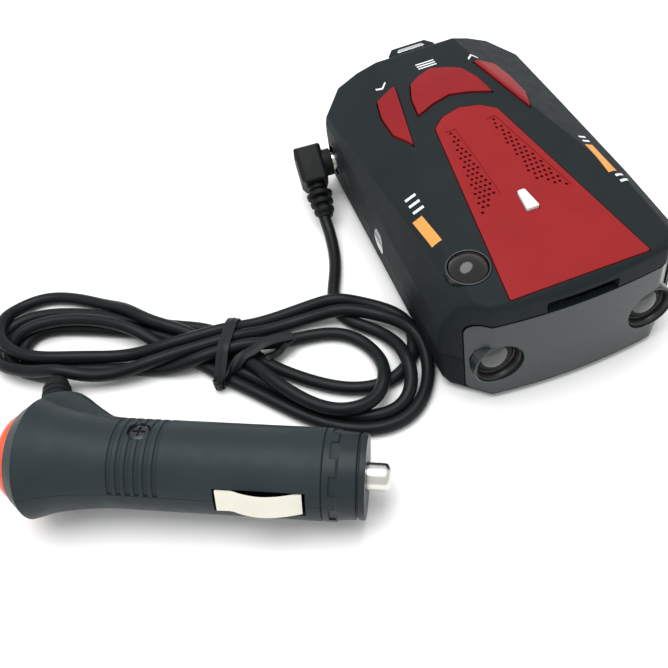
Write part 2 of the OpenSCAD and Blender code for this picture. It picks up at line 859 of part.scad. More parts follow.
ring_end = -1.2;
button_r = 10.3;

module plug_end_ring() {
    color([0.12, 0.125, 0.125])
    turned() polygon([
        [rim_r, rim_s], [rim_r - 0.2, rim_s - 0.3], [11.5, ring_end], [button_r + 0.4, ring_end],
        [button_r + 0.4, rim_s + 1.6], [11.5, rim_s + 1.6], [11.5, rim_s]
    ]);
}

module switch_button() {
    color([0.9, 0.22, 0.1])
    turned() polygon([
        [0, -5.8], [5.5, -5.5], [8.4, -4.6], [button_r, -2.8], [button_r, 2], [0, 2]
    ]);
}

module plug_circuit_board() {
    color([0.05, 0.3, 0.16])
    at_plug() translate([5.5, -7, -0.6]) cube([26, 14, 1.2]);
}

module plug_components() {
    color([0.2, 0.2, 0.22])
    at_plug() {
        translate([5.8, -4, 0.6]) cube([6, 8, 3.2]);
        translate([15.5, -1, 0.6]) cylinder(r = 3.4, h = 4, $fn = 32);
        translate([20.5, -4.5, 0.6]) cube([4, 4, 1.4]);
        translate([20, 0.5, 0.6]) cube([5, 5, 1]);
    }
}

module plug_screw() {
    color([0.7, 0.71, 0.72])
    at_plug() translate([screw_s, 0, 0]) {
        translate([0, 0, 0.7]) cylinder(r = 1.2, h = barrel_r - 2.2, $fn = 32);
        translate([0, 0, barrel_r - 1.5]) difference() {
            cylinder(r = 2.5, h = 1, $fn = 32);
            for (a = [0, 90]) rotate([0, 0, a]) translate([-1.5, -0.3, 0.5]) cube([3, 0.6, 1]);
        }
    }
}

module plug_strain_relief() {
    color([0.06, 0.06, 0.06])
    at_relief() rotate_extrude($fn = 40)
        polygon([
            [0, relief_seat], [boot_r, relief_seat], [boot_r, mouth + 0.6], [boot_r - 0.5, mouth + 0.6],
            [boot_r - 0.5, mouth + 1.4], [3.7, mouth + 1.4], [3.6, mouth + 2.6], [3.1, mouth + 2.6],
            [3.1, mouth + 3.4], [3.5, mouth + 3.4], [3.3, mouth + 4.8], [2.9, mouth + 4.8],
            [2.6, relief_tip], [0, relief_tip]
        ]);
}

// Bowed strip of sprung metal; it sits in the slots of both shells
module ground_contact(side) {
    at_plug() mirror([0, side > 0 ? 1 : 0, 0]) translate([0, 0, -leaf_w / 2]) linear_extrude(height = leaf_w)
        polygon([
            [47.2, -9.6], [47.2, -10.4], [50.6, -10.4], [52.8, -11.1], [56, -11.7], [58.6, -11.7], [61.8, -11.2],
            [65, -10.3], [66.4, -9.9], [66.2, -9.3], [64.8, -9.7], [61.6, -10.6], [58.6, -11.1], [56, -11.1],
            [53, -10.5], [50.8, -9.8], [49.8, -9.6]
        ]);
}

module ground_contact_near() {
    color([0.85, 0.84, 0.78])
    ground_contact(-1);
}

module ground_contact_far() {
    color([0.85, 0.84, 0.78])
    ground_contact(1);
}

module nose_cap() {
    color([0.1, 0.105, 0.105])
    turned() polygon([
        [barrel_r, barrel_s + 0.05], [barrel_r, barrel_s + 3], [10, barrel_s + 3.4], [9.8, nose_s - 2], [9.2, nose_s - 1.9],
        [9.2, nose_s - 1.5], [9.8, nose_s - 1.4], [9.8, nose_s], [pin_r + 0.35, nose_s], [pin_r + 0.35, nose_s - 2.4],
        [5.4, nose_s - 2.4], [5.4, barrel_s - 3], [8.4, barrel_s - 3], [8.4, barrel_s + 0.05]
    ]);
}

pin_flange = 4.6;
fuse_r = 3;

module fuse_tube() {
    color([0.12, 0.12, 0.12])
    turned() polygon([[fuse_r + 0.35, 51], [4.4, 51], [4.4, 70], [fuse_r + 0.35, 70]]);
}

module contact_pin() {
    color([0.85, 0.84, 0.8])
    turned() polygon([
        [0, nose_s - 5.6], [pin_flange, nose_s - 5.6], [pin_flange, nose_s - 2.8], [pin_r, nose_s - 2.8],
        [pin_r, pin_tip - 2], [2.9, pin_tip - 1], [2, pin_tip - 0.25], [0.8, pin_tip], [0, pin_tip]
    ]);
}

module fuse() {
    color([0.8, 0.82, 0.84, 0.7])
    turned() polygon([[0, 50.6], [fuse_r, 50.6], [fuse_r, nose_s - 5.7], [0, nose_s - 5.7]]);
}

spring_turns = 6;
spring_s0 = 34;
spring_s1 = 50;
spring_steps = 72;
spring_r = 2.4;
wire_r = 0.35;

module contact_spring() {
    pitch = (spring_s1 - spring_s0 - 2 * wire_r) / spring_steps;
    color([0.75, 0.76, 0.78])
    at_plug() rotate([0, 90, 0]) sweep_tube(
        [for (k = [0:spring_steps]) let (a = 360 * spring_turns * k / spring_steps)
            [spring_r * cos(a), spring_r * sin(a), spring_s0 + wire_r + pitch * k]],
        wire_r, 6
    );
}

upper_case();
lower_case();
front_window();
lens_bezel_left();
lens_bezel_right();
front_lens_left();
front_lens_right();
laser_sensor_board();
laser_photodiodes();
top_panel();
status_light();
menu_button();
up_button();
down_button();
dome_ring();
dome_lens();
dome_sensor();
rear_badge();
side_sticker();
display_window();
led_display();
main_circuit_board();
horn_antenna();
microwave_board();
speaker_frame();
speaker_cone();
speaker_magnet();
button_switches();
dc_jack();
case_screws();
rating_label();
anti_slip_pad();
dc_plug_body();
dc_plug_barrel();
dc_strain_relief();
lead_cord();
hank_cord();
tail_cord();
hank_tie();
plug_strain_relief();
plug_shell_upper();
plug_shell_lower();
plug_end_ring();
switch_button();
plug_circuit_board();
plug_components();
plug_screw();
ground_contact_near();
ground_contact_far();
nose_cap();
fuse_tube();
fuse();
contact_pin();
contact_spring();
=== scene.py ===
"""Looks of a windscreen radar detector with its coiled 12 V lead.

Everything is modelled in millimetres in the part's own frame and scaled to metres when an
object is made: +Z up, -Y the windscreen end, +Y the driver's end, origin on the table.
"""
from math import asin, atan, ceil, copysign, cos, pi, radians, sin, sqrt, tan

import bmesh
import bpy
import numpy as np
from mathutils import Matrix, Vector
from mathutils.geometry import convex_hull_2d


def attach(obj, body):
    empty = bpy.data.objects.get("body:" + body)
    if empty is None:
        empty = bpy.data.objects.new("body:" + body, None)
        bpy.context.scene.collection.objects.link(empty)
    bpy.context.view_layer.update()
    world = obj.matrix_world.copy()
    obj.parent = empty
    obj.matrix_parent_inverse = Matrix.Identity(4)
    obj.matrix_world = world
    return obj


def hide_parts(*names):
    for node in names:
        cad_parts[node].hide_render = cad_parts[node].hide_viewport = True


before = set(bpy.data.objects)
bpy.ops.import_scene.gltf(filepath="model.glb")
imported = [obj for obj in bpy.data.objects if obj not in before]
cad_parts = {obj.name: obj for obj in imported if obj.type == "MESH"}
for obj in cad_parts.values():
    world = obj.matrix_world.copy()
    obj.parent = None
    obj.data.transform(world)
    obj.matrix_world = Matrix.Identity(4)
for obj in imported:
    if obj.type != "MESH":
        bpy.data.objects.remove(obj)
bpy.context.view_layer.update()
scene = bpy.context.scene
MM = 0.001


def placed(name, data):
    """A new object in the scene."""
    obj = bpy.data.objects.new(name, data)
    scene.collection.objects.link(obj)
    return obj


# --- camera
CAMERA_AT = Vector((-75.68, -144.48, 176.52)) * MM
CAMERA_YAW = 0.1833  # clockwise from +Y, in radians
CAMERA_PITCH = 0.9334  # downwards
CAMERA_ROLL = -0.1946
CAMERA_LENS = 43.36

camera_data = bpy.data.cameras.new("camera")
camera_data.sensor_width = 36
camera_data.lens = CAMERA_LENS
camera_data.clip_start = 0.01
camera = placed("camera", camera_data)
camera.matrix_world = (Matrix.Translation(CAMERA_AT) @ Matrix.Rotation(-CAMERA_YAW, 4, "Z")
    @ Matrix.Rotation(pi / 2 - CAMERA_PITCH, 4, "X") @ Matrix.Rotation(CAMERA_ROLL, 4, "Z"))
scene.camera = camera


# --- materials
def node_material(name, color, roughness, metallic=0.0):
    """An empty Principled material; returns (material, its tree, the shader node)."""
    mat = bpy.data.materials.new(name)
    mat.use_nodes = True
    tree = mat.node_tree
    shader = tree.nodes["Principled BSDF"]
    shader.inputs["Base Color"].default_value = (*color, 1)
    shader.inputs["Roughness"].default_value = roughness
    shader.inputs["Metallic"].default_value = metallic
    return mat, tree, shader


def add(tree, kind, **values):
    """A node with its input sockets set by name."""
    node = tree.nodes.new(kind)
    for key, value in values.items():
        node.inputs[key].default_value = value
    return node


def object_noise(tree, scale, detail=2.0):
    """A noise texture in the part's own coordinates; scale is in features per metre."""
    coord = tree.nodes.new("ShaderNodeTexCoord")
    noise = add(tree, "ShaderNodeTexNoise", Scale=scale, Detail=detail)
    tree.links.new(coord.outputs["Object"], noise.inputs["Vector"])
    return noise.outputs["Fac"]


def remap(tree, value, low, high, start=0.3, end=0.7):
    """The stretch of a value from start to end, spread from low to high."""
    ends = {"From Min": start, "From Max": end, "To Min": low, "To Max": high}
    node = add(tree, "ShaderNodeMapRange", **ends)
    tree.links.new(value, node.inputs["Value"])
    return node.outputs["Result"]


def mix_colors(tree, factor, first, second):
    node = tree.nodes.new("ShaderNodeMix")
    node.data_type = "RGBA"
    for socket, value in ((node.inputs[6], first), (node.inputs[7], second)):
        if hasattr(value, "links"):
            tree.links.new(value, socket)
        else:
            socket.default_value = (*value, 1)
    tree.links.new(factor, node.inputs[0])
    return node.outputs[2]


def add_bump(tree, shader, height, distance):
    bump = add(tree, "ShaderNodeBump", Strength=1.0, Distance=distance)
    tree.links.new(height, bump.inputs["Height"])
    tree.links.new(bump.outputs["Normal"], shader.inputs["Normal"])


def moulded(name, color, roughness, grain=3500, depth=0.02, mottle=0.12, spread=0.06, coat=0.0,
        metallic=0.0, patches=90, specular=0.5):
    """Moulded plastic, rubber or plated metal: grain per metre, depth in mm, spread of roughness."""
    mat, tree, shader = node_material(name, color, roughness, metallic)
    shader.inputs["Specular IOR Level"].default_value = specular
    shader.inputs["Coat Weight"].default_value = coat
    shader.inputs["Coat Roughness"].default_value = 0.12
    patch = object_noise(tree, patches, 4.0)
    darker = tuple(c * (1 - mottle) for c in color)
    lighter = tuple(min(1, c * (1 + mottle)) for c in color)
    tree.links.new(mix_colors(tree, remap(tree, patch, 0, 1), darker, lighter), shader.inputs["Base Color"])
    wear = object_noise(tree, patches * 3, 5.0)
    tree.links.new(remap(tree, wear, roughness - spread, roughness + spread), shader.inputs["Roughness"])
    add_bump(tree, shader, object_noise(tree, grain), depth * MM)
    return mat


def smoked(name, color, roughness, coat=0.6, clear=0.0):
    """Tinted glossy plastic or glass with faint handling marks; clear is how far light passes through."""
    mat = moulded(name, color, roughness, grain=900, depth=0.004, mottle=0.08, spread=0.03, coat=coat,
        patches=60)
    shader = mat.node_tree.nodes["Principled BSDF"]
    shader.inputs["Transmission Weight"].default_value = clear
    shader.inputs["IOR"].default_value = 1.49
    return mat


def circuit_board(name):
    """Green solder mask over copper tracks, with tinned pads."""
    mat, tree, shader = node_material(name, (0.01, 0.09, 0.035), 0.35)
    coord = tree.nodes.new("ShaderNodeTexCoord")
    tracks = add(tree, "ShaderNodeTexBrick", Scale=260.0,
        **{"Mortar Size": 0.012, "Brick Width": 0.9, "Row Height": 0.35})
    tracks.inputs["Color1"].default_value = (0.008, 0.07, 0.03, 1)
    tracks.inputs["Color2"].default_value = (0.012, 0.10, 0.04, 1)
    tracks.inputs["Mortar"].default_value = (0.03, 0.20, 0.08, 1)
    tree.links.new(coord.outputs["Object"], tracks.inputs["Vector"])
    pads = add(tree, "ShaderNodeTexVoronoi", Scale=420.0)
    tree.links.new(coord.outputs["Object"], pads.inputs["Vector"])
    near = remap(tree, pads.outputs["Distance"], 1.0, 0.0, 0.16, 0.2)
    color = mix_colors(tree, near, tracks.outputs["Color"], (0.62, 0.6, 0.55))
    tree.links.new(color, shader.inputs["Base Color"])
    add_bump(tree, shader, tracks.outputs["Fac"], 0.03 * MM)
    return mat


def printed(name, color):
    """Silk-screened ink: slightly uneven, with a hint of the grain below."""
    return moulded(name, color, 0.5, grain=5000, depth=0.006, mottle=0.06, spread=0.05, patches=900)


# Name, colour, roughness, then grain per metre, its depth in mm, mottle and spread of roughness
CASE = moulded("case_plastic", (0.0135, 0.0178, 0.0195), 0.5, 4200, 0.012, 0.08, 0.05, specular=0.06)
CASE_LOWER = moulded("case_lower_plastic", (0.0105, 0.0138, 0.0152), 0.55, 4200, 0.014, 0.08, specular=0.05)
RED = moulded("red_panel_paint", (0.235, 0.0125, 0.014), 0.36, 5200, 0.006, 0.05, 0.04, specular=0.1)
RED_KEY = moulded("red_key_plastic", (0.215, 0.011, 0.0135), 0.34, 5200, 0.006, 0.06, 0.04, specular=0.1)
WINDOW = smoked("window_smoked", (0.015, 0.023, 0.0236), 0.28, coat=0.05)
LENS = smoked("lens_smoked", (0.03, 0.032, 0.034), 0.08)
BEZEL = moulded("bezel_plastic", (0.009, 0.009, 0.01), 0.34, 5000, 0.004)
DOME = smoked("dome_smoked", (0.004, 0.004, 0.005), 0.09, coat=0.0)
LIGHT = moulded("light_pipe", (0.78, 0.79, 0.80), 0.22, 3000, 0.004, 0.04, 0.05, 0.4)
CHROME = moulded("badge_plating", (0.72, 0.73, 0.75), 0.16, 9000, 0.003, 0.03, metallic=1.0)
SEAL = moulded("seal_foil", (0.66, 0.68, 0.70), 0.3, 2600, 0.012, 0.12, metallic=0.5, patches=700)
CORD = moulded("cord_pvc", (0.007, 0.009, 0.0098), 0.36, 2400, 0.012, 0.10, 0.07, patches=140, specular=0.13)
RUBBER = moulded("rubber_boot", (0.008, 0.0095, 0.010), 0.5, 3000, 0.02, 0.12, specular=0.1)
TIE = moulded("tie_plastic", (0.012, 0.014, 0.015), 0.42, 3200, 0.015, 0.12, specular=0.14)
PLUG = moulded("plug_plastic", (0.0215, 0.030, 0.033), 0.42, 3600, 0.02, 0.08, 0.06, specular=0.11)
NOSE_MAT = moulded("nose_plastic", (0.019, 0.026, 0.0285), 0.34, 3600, 0.016, 0.08, specular=0.13)
GLOW = moulded("switch_plastic", (0.78, 0.07, 0.02), 0.28, 2500, 0.008, 0.10, coat=0.3)
LEAF = moulded("leaf_nickel", (0.74, 0.72, 0.62), 0.34, 1400, 0.003, 0.05, 0.05, metallic=0.2)
NICKEL = moulded("pin_nickel", (0.70, 0.69, 0.66), 0.2, 4200, 0.006, 0.06, 0.06, metallic=1.0)
STEEL = moulded("screw_steel", (0.46, 0.46, 0.46), 0.28, 5200, 0.008, 0.10, metallic=1.0)
BLACK_STEEL = moulded("screw_black_oxide", (0.03, 0.033, 0.035), 0.34, 5200, 0.006, 0.12, metallic=0.6)
ZINC = moulded("antenna_casting", (0.50, 0.51, 0.52), 0.45, 1800, 0.03, 0.10, metallic=0.9)
GOLD = moulded("microwave_gold", (0.70, 0.52, 0.16), 0.3, 3600, 0.01, 0.10, metallic=0.8)
PAPER_CONE = moulded("cone_paper", (0.045, 0.04, 0.036), 0.8, 2200, 0.05, 0.22, patches=500)
PART = moulded("component_epoxy", (0.02, 0.02, 0.022), 0.5, 4000, 0.02)
GLASS = smoked("fuse_glass", (0.6, 0.64, 0.66), 0.06, clear=0.6)
PAD = moulded("pad_rubber", (0.014, 0.014, 0.015), 0.75, 1500, 0.06, 0.15)
WHITE_INK = printed("white_ink", (0.72, 0.73, 0.73))
ORANGE_INK = printed("orange_ink", (0.62, 0.27, 0.05))
LABEL = printed("label_paper", (0.62, 0.62, 0.60))
DISPLAY = smoked("display_red", (0.05, 0.006, 0.006), 0.12)
BOARD = circuit_board("board_mask")


# --- places
def shift(x, y, z=0):
    return Matrix.Translation((x, y, z))


def spin(degrees, axis):
    return Matrix.Rotation(radians(degrees), 4, axis)


# --- the lead
CORD_D = 3.5
STEP = 1.5  # spacing of the points along the centreline
HANK_AT = (-80.6, -12.0)
HANK_TURN = radians(-29)
CLEAR = CORD_D * 1.02  # strands settle this far apart, centre to centre
EASY_BEND = 12.0  # bends tighter than this radius ease
GIVE = 0.4  # how fast the lead gives way along itself
HOLD = 0.02  # how strongly it keeps to its planned place
SINK = 0.015  # how far it sinks in each round
WALL_X = -32.0  # the lead stays on this side of the detector

LEAD_ROUTE = [(-40.8, 21.8, 4.8), (-41, 17.8, 3.1), (-41.3, 14, 2.1), (-41.9, 10, 1.8), (-43.1, 5.8, 1.8),
    (-45, 1.2, 1.8), (-47, -2, 1.8)]
TAIL_ROUTE = [(-127.9, 2, 2.1), (-126.5, 0, 3), (-125.9, -2.6, 4.1), (-125.9, -4.5, 4.9)]

# Four turns of the figure-of-eight hank, (along, across, height) from the tie; without a height
# the lead lies on the table
HANK_ROUTE = [
    (24.5, 20.5), (25.5, 17), (28, 14), (32.5, 13), (39.5, 12), (46, 6.5, 4.25), (50, -1, 5.25),
    (51.5, -7, 5), (50, -12, 3.25), (44.5, -15), (33.5, -16), (22.5, -12.5), (9, -6.5), (0, -2),
    (-10, 1.5), (-24, 4.5), (-39.5, 5.5), (-50.5, 5), (-57.5, 4), (-62, 1), (-63.5, -2.5), (-62, -6),
    (-57.5, -8), (-48, -8), (-36, -7.5), (-23.5, -7, 2.5), (-10.5, -5, 5.25), (1.5, 1, 5.25),
    (9, 2, 5.25), (16, 6, 4.5), (29, 10.5), (38, 6.5, 3), (43.5, -1.5, 5), (45, -8, 5.25),
    (42, -13.5, 5.25), (35, -17, 5.25), (23, -13.5, 4.75), (7.5, -4.5, 3), (0, 1.5), (-6.5, 4.2, 3.2),
    (-14, 5.3, 4.4), (-23.5, 6.8, 4.8), (-30, 9, 4.6), (-37.5, 12.8, 2.6), (-46, 15), (-56, 16),
    (-64.5, 14, 2.5), (-68.5, 7.5, 4), (-68.5, 1, 5.25), (-64, -5.5, 7), (-56.5, -8, 7.5), (-45, -7.5, 6),
    (-29, -4, 5.25), (-18.5, -1, 5.25), (-8.5, 3.5, 5.25), (1.5, 7.5, 5.25), (4.5, 9, 5.25),
    (17, 16.5, 5.25), (30.5, 20, 4.75), (38, 19.5, 3.5), (44, 18.5, 2), (48.5, 14), (50.5, 8), (50, 2),
    (47, -3), (42, -6.5), (34.5, -8), (21, -5.5), (6, 0), (0, 5), (-7, 6.5), (-13, 7), (-22, 8),
    (-35, 10), (-53.5, 10), (-62.5, 8), (-68.5, 4.5), (-70, -1, 2.5), (-66.5, -8.5, 5), (-58, -12, 6.8),
    (-44, -13, 6), (-27.5, -10, 5.25), (-17, -5, 5.25), (-7, -0.5, 5.25), (1.5, 4, 5.25), (5.5, 6, 5.25),
    (18, 13, 5.25), (31, 16, 5.25), (39.5, 15.5, 5.25), (46.5, 13, 5.25), (51.5, 8.5, 4), (54, 2.5, 2.25),
    (54.5, -5), (52.5, -12), (48.5, -17), (41.5, -19), (31, -18.5), (23, -16), (14, -12), (5, -7.5),
    (0, -5.5), (-13.5, 0, 3), (-24.5, 4, 4.5), (-38.5, 6, 4.5), (-50, 5.5, 4.75), (-58.5, 2.5, 5.25),
    (-63, -1, 4.5), (-65.5, -5, 2.5), (-63.5, -9.5), (-57.5, -11.5), (-50.5, -11),
]


def hank_point(along, across, height=CORD_D / 2):
    c, s = cos(HANK_TURN), sin(HANK_TURN)
    return (HANK_AT[0] + c * along - s * across, HANK_AT[1] + s * along + c * across, height)


def resample(line, step):
    """The same line with points at even spacing."""
    along = np.concatenate([[0], np.cumsum(np.linalg.norm(np.diff(line, axis=0), axis=1))])
    even = np.linspace(0, along[-1], int(round(along[-1] / step)) + 1)
    return np.stack([np.interp(even, along, line[:, k]) for k in range(3)], axis=1)


def between(a, b, start, end, t):
    """The point at t on the straight way from a, at start, to b, at end."""
    return ((end - t) * a + (t - start) * b) / (end - start)


def smooth_line(points, step):
    """A centripetal Catmull-Rom curve through the points."""
    p = np.array(points, float)
    q = np.vstack([2 * p[0] - p[1], p, 2 * p[-1] - p[-2]])
    out = []
    for a, b, c, d in zip(q, q[1:], q[2:], q[3:]):
        t1 = np.linalg.norm(b - a) ** 0.5
        t2 = t1 + np.linalg.norm(c - b) ** 0.5
        t3 = t2 + np.linalg.norm(d - c) ** 0.5
        for t in np.linspace(t1, t2, max(2, int(np.linalg.norm(c - b) / 0.4)), endpoint=False):
            ab, bc, cd = between(a, b, 0, t1, t), between(b, c, t1, t2, t), between(c, d, t2, t3, t)
            out.append(between(between(ab, bc, 0, t2, t), between(bc, cd, t1, t3, t), t1, t2, t))
    out.append(q[-2])
    return resample(np.array(out), step)


def sagitta(values):
    """How far each point lies from the middle of its two neighbours; nothing at the ends."""
    out = np.zeros_like(values)
    out[1:-1] = (values[:-2] + values[2:]) / 2 - values[1:-1]
    return out


def settle(line, rounds):
    """Strands push each other apart, tight bends ease, and the lead sinks to the table."""
    start = line.copy()
    count = len(line)
    apart = int(1.6 * CORD_D / STEP) + 3  # neighbours along the lead that may be close
    first, second = np.triu_indices(count, apart)
    free = np.ones(count)
    free[:6] = 0
    free[count - 3:] = 0
    for k in range(rounds):
        if k % 20 == 0:
            near = np.linalg.norm(line[second] - line[first], axis=1) < 3 * CORD_D
            i, j = first[near], second[near]
        gap = line[j] - line[i]
        dist = np.linalg.norm(gap, axis=1)
        hit = dist < CLEAR
        length = np.maximum(dist[hit], 1e-6)
        half = (gap[hit] / length[:, None]) * ((CLEAR - length) * 0.5)[:, None]
        push = np.zeros_like(line)
        hits = np.zeros(count)
        np.add.at(push, i[hit], -half)
        np.add.at(push, j[hit], half)
        np.add.at(hits, i[hit], 1)
        np.add.at(hits, j[hit], 1)
        move = push / np.maximum(hits, 1)[:, None]
        drift = line - start
        ease, bend = sagitta(drift), sagitta(line)
        sharp = np.linalg.norm(bend, axis=1) * 2 / STEP ** 2 * EASY_BEND
        move += GIVE * ease + GIVE * bend * np.clip(sharp - 1, 0, 1)[:, None]
        move[:, :2] -= HOLD * drift[:, :2]
        move[:, 2] -= SINK
        line = line + move * free[:, None]
        line[:, 2] = np.maximum(line[:, 2], CORD_D / 2)
        line[:, 0] = np.minimum(line[:, 0], WALL_X)
    return line


def relaxed(line, rounds, keep=4):
    """The line with its small corners smoothed away; its ends stay."""
    line = line.copy()
    for _ in range(rounds):
        line[keep:-keep] += 0.5 * sagitta(line)[keep:-keep]
    return line


planned_route = smooth_line(LEAD_ROUTE + [hank_point(*p) for p in HANK_ROUTE] + TAIL_ROUTE, STEP)
cord_line = resample(relaxed(settle(relaxed(planned_route, 24), 300), 5), STEP)

cord_curve = bpy.data.curves.new("lead_curve", "CURVE")
cord_curve.dimensions = "3D"
cord_curve.bevel_depth = CORD_D / 2 * MM
cord_curve.bevel_resolution = 6
cord_curve.use_fill_caps = True
spline = cord_curve.splines.new("POLY")
spline.points.add(len(cord_line) - 1)
spline.points.foreach_set("co", np.hstack([cord_line * MM, np.ones((len(cord_line), 1))]).ravel())
spline.use_smooth = True
lead = placed("lead", cord_curve)
cord_curve.materials.append(CORD)
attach(lead, "detector")
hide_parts("lead_cord", "hank_cord", "tail_cord")


# --- mesh helpers
def solid_from_planes(planes, size=300):
    """The convex solid inside all planes, given as (point, outward normal)."""
    bm = bmesh.new()
    bmesh.ops.create_cube(bm, size=size)
    for point, normal in planes:
        whole = bm.verts[:] + bm.edges[:] + bm.faces[:]
        section = bmesh.ops.bisect_plane(bm, geom=whole, plane_co=point, plane_no=normal, clear_outer=True,
            dist=1e-5)
        rim = [e for e in section["geom_cut"] if isinstance(e, bmesh.types.BMEdge)]
        if rim:
            bmesh.ops.edgeloop_fill(bm, edges=rim)
    bmesh.ops.remove_doubles(bm, verts=bm.verts, dist=1e-4)
    bmesh.ops.recalc_face_normals(bm, faces=bm.faces)
    return bm


def inset_planes(planes, depth):
    return [(Vector(p) - Vector(n).normalized() * depth, n) for p, n in planes]


def arc_directions(a, b, step):
    """Unit directions from a to b, at most step radians apart, both ends included."""
    angle = a.angle(b)
    count = max(1, ceil(angle / step))
    return [a.slerp(b, k / count).normalized() for k in range(count + 1)] if angle > 1e-3 else [a]


def rounded_solid(planes, radius, step=radians(15)):
    """The convex solid inside all planes, with every edge and corner rounded to the radius."""
    core = solid_from_planes(inset_planes(planes, radius))
    hull = bmesh.new()
    for vert in core.verts:
        middle = sum((f.normal for f in vert.link_faces), Vector()).normalized()
        directions = [middle]
        for edge in vert.link_edges:
            if len(edge.link_faces) != 2:
                continue
            a, b = (f.normal.copy() for f in edge.link_faces)
            for d in arc_directions(a, b, step):
                directions.append(d)
                if d.angle(middle) > step:
                    directions += arc_directions(middle, d, step)[1:-1]
        for d in directions:
            hull.verts.new(vert.co + d * radius)
    core.free()
    bmesh.ops.remove_doubles(hull, verts=hull.verts, dist=2e-3)
    made = bmesh.ops.convex_hull(hull, input=hull.verts)
    loose = [g for g in made["geom_interior"] + made["geom_unused"] if isinstance(g, bmesh.types.BMVert)]
    bmesh.ops.delete(hull, geom=list(set(loose)), context="VERTS")
    bmesh.ops.dissolve_limit(hull, angle_limit=radians(0.3), verts=hull.verts, edges=hull.edges)
    bmesh.ops.recalc_face_normals(hull, faces=hull.faces)
    return hull


def prism(outline, z0, z1, matrix=None):
    """Straight prism over an outline of (x, y)."""
    return loft([[(x, y, z) for x, y in outline] for z in (z0, z1)], matrix)


def block(x0, x1, y0, y1, z0, z1, matrix=None):
    return prism([(x0, y0), (x1, y0), (x1, y1), (x0, y1)], z0, z1, matrix)


def moved(bm, matrix):
    """The solid at its place, with its faces looking outwards."""
    if matrix is not None:
        bmesh.ops.transform(bm, matrix=matrix, verts=bm.verts)
    if bm.calc_volume(signed=True) < 0:
        bmesh.ops.reverse_faces(bm, faces=bm.faces)
    return bm


def lathe(profile, matrix=None, sides=96):
    """Body of revolution about Z from a closed half profile of (radius, height)."""
    bm = bmesh.new()
    rings = []
    for radius, height in profile:
        if radius < 1e-6:
            rings.append([bm.verts.new((0, 0, height))] * sides)
        else:
            rings.append([bm.verts.new((radius * cos(2 * pi * k / sides),
                radius * sin(2 * pi * k / sides), height)) for k in range(sides)])
    for lower, upper in zip(rings, rings[1:] + rings[:1]):
        for k in range(sides):
            corners = []
            for v in (lower[k], lower[(k + 1) % sides], upper[(k + 1) % sides], upper[k]):
                if v not in corners:
                    corners.append(v)
            if len(corners) >= 3:
                bm.faces.new(corners)
    bmesh.ops.recalc_face_normals(bm, faces=bm.faces)
    return moved(bm, matrix)


def rounded_outline(outline, radius, steps=4, lathed=False):
    """The outline with its corners rounded; a lathed one keeps its corners on the axis."""
    pts = [Vector(p) for p in outline]
    out = []
    for k, p in enumerate(pts):
        a, b = pts[k - 1], pts[(k + 1) % len(pts)]
        r = min(radius, (a - p).length * 0.45, (b - p).length * 0.45)
        if lathed and (p.x < 1e-6 or r < 1e-4):
            out.append(tuple(p))
            continue
        start, end = p + (a - p).normalized() * r, p + (b - p).normalized() * r
        for t in np.linspace(0, 1, steps + 1):
            out.append(tuple(start * (1 - t) ** 2 + p * 2 * t * (1 - t) + end * t ** 2))
    return out


def soft_lathe(points, radius, matrix=None, sides=96):
    """Body of revolution from a half profile with its corners rounded."""
    return lathe(rounded_outline(points, radius, 3, lathed=True), matrix, sides)


def loft(rings, matrix=None):
    """Skin through closed rings of points, capped at both ends."""
    bm = bmesh.new()
    made = [[bm.verts.new(p) for p in ring] for ring in rings]
    n = len(made[0])
    for a, b in zip(made, made[1:]):
        for k in range(n):
            bm.faces.new((a[k], a[(k + 1) % n], b[(k + 1) % n], b[k]))
    bm.faces.new(made[0][::-1])
    bm.faces.new(made[-1])
    bmesh.ops.recalc_face_normals(bm, faces=bm.faces)
    return moved(bm, matrix)


def as_mesh(name, bm):
    """The solid as a mesh; bm is used up."""
    mesh = bpy.data.meshes.new(name)
    bm.to_mesh(mesh)
    bm.free()
    return mesh


def combine(bm, tools, operation):
    """bm with each tool subtracted, added or kept in common."""
    base, *others = [placed("temporary", as_mesh("temporary", b)) for b in (bm, *tools)]
    for other in others:
        mod = base.modifiers.new("combine", "BOOLEAN")
        mod.operation = operation
        mod.solver = "EXACT"
        mod.object = other
    baked = bpy.data.meshes.new_from_object(base.evaluated_get(bpy.context.evaluated_depsgraph_get()))
    out = bmesh.new()
    out.from_mesh(baked)
    bpy.data.meshes.remove(baked)
    for obj in [base, *others]:
        mesh = obj.data
        bpy.data.objects.remove(obj)
        bpy.data.meshes.remove(mesh)
    return out


def cut(bm, *tools):
    return combine(bm, tools, "DIFFERENCE")


def join(bm, *tools):
    return combine(bm, tools, "UNION")


def common(bm, *tools):
    return combine(bm, tools, "INTERSECT")


def bevel_sharp(bm, width, angle=30, segments=2, where=None):
    """Rounds the edges sharper than the angle, in degrees."""
    sharp = [e for e in bm.edges if len(e.link_faces) == 2 and e.calc_face_angle(0) > radians(angle)
        and (where is None or where(e))]
    bmesh.ops.bevel(bm, geom=sharp, offset=width, segments=segments, profile=0.5, affect="EDGES",
        clamp_overlap=True)
    return bm


def piece(name, bm, material, node, body="detector", replaces=True, smooth=32, weighted=True):
    """Makes the object in metres, shades it, attaches it to its body and hides the CAD node that it
    replaces.
    """
    bmesh.ops.scale(bm, vec=(MM, MM, MM), verts=bm.verts)
    bmesh.ops.dissolve_degenerate(bm, dist=1e-7, edges=bm.edges)
    mesh = as_mesh(name, bm)
    mesh.shade_smooth()
    mesh.set_sharp_from_angle(angle=radians(smooth))
    mesh.materials.append(material)
    obj = placed(name, mesh)
    if weighted:
        obj.modifiers.new("even_shading", "WEIGHTED_NORMAL").keep_sharp = True
    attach(obj, body)
    if replaces:
        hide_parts(node)
    return obj


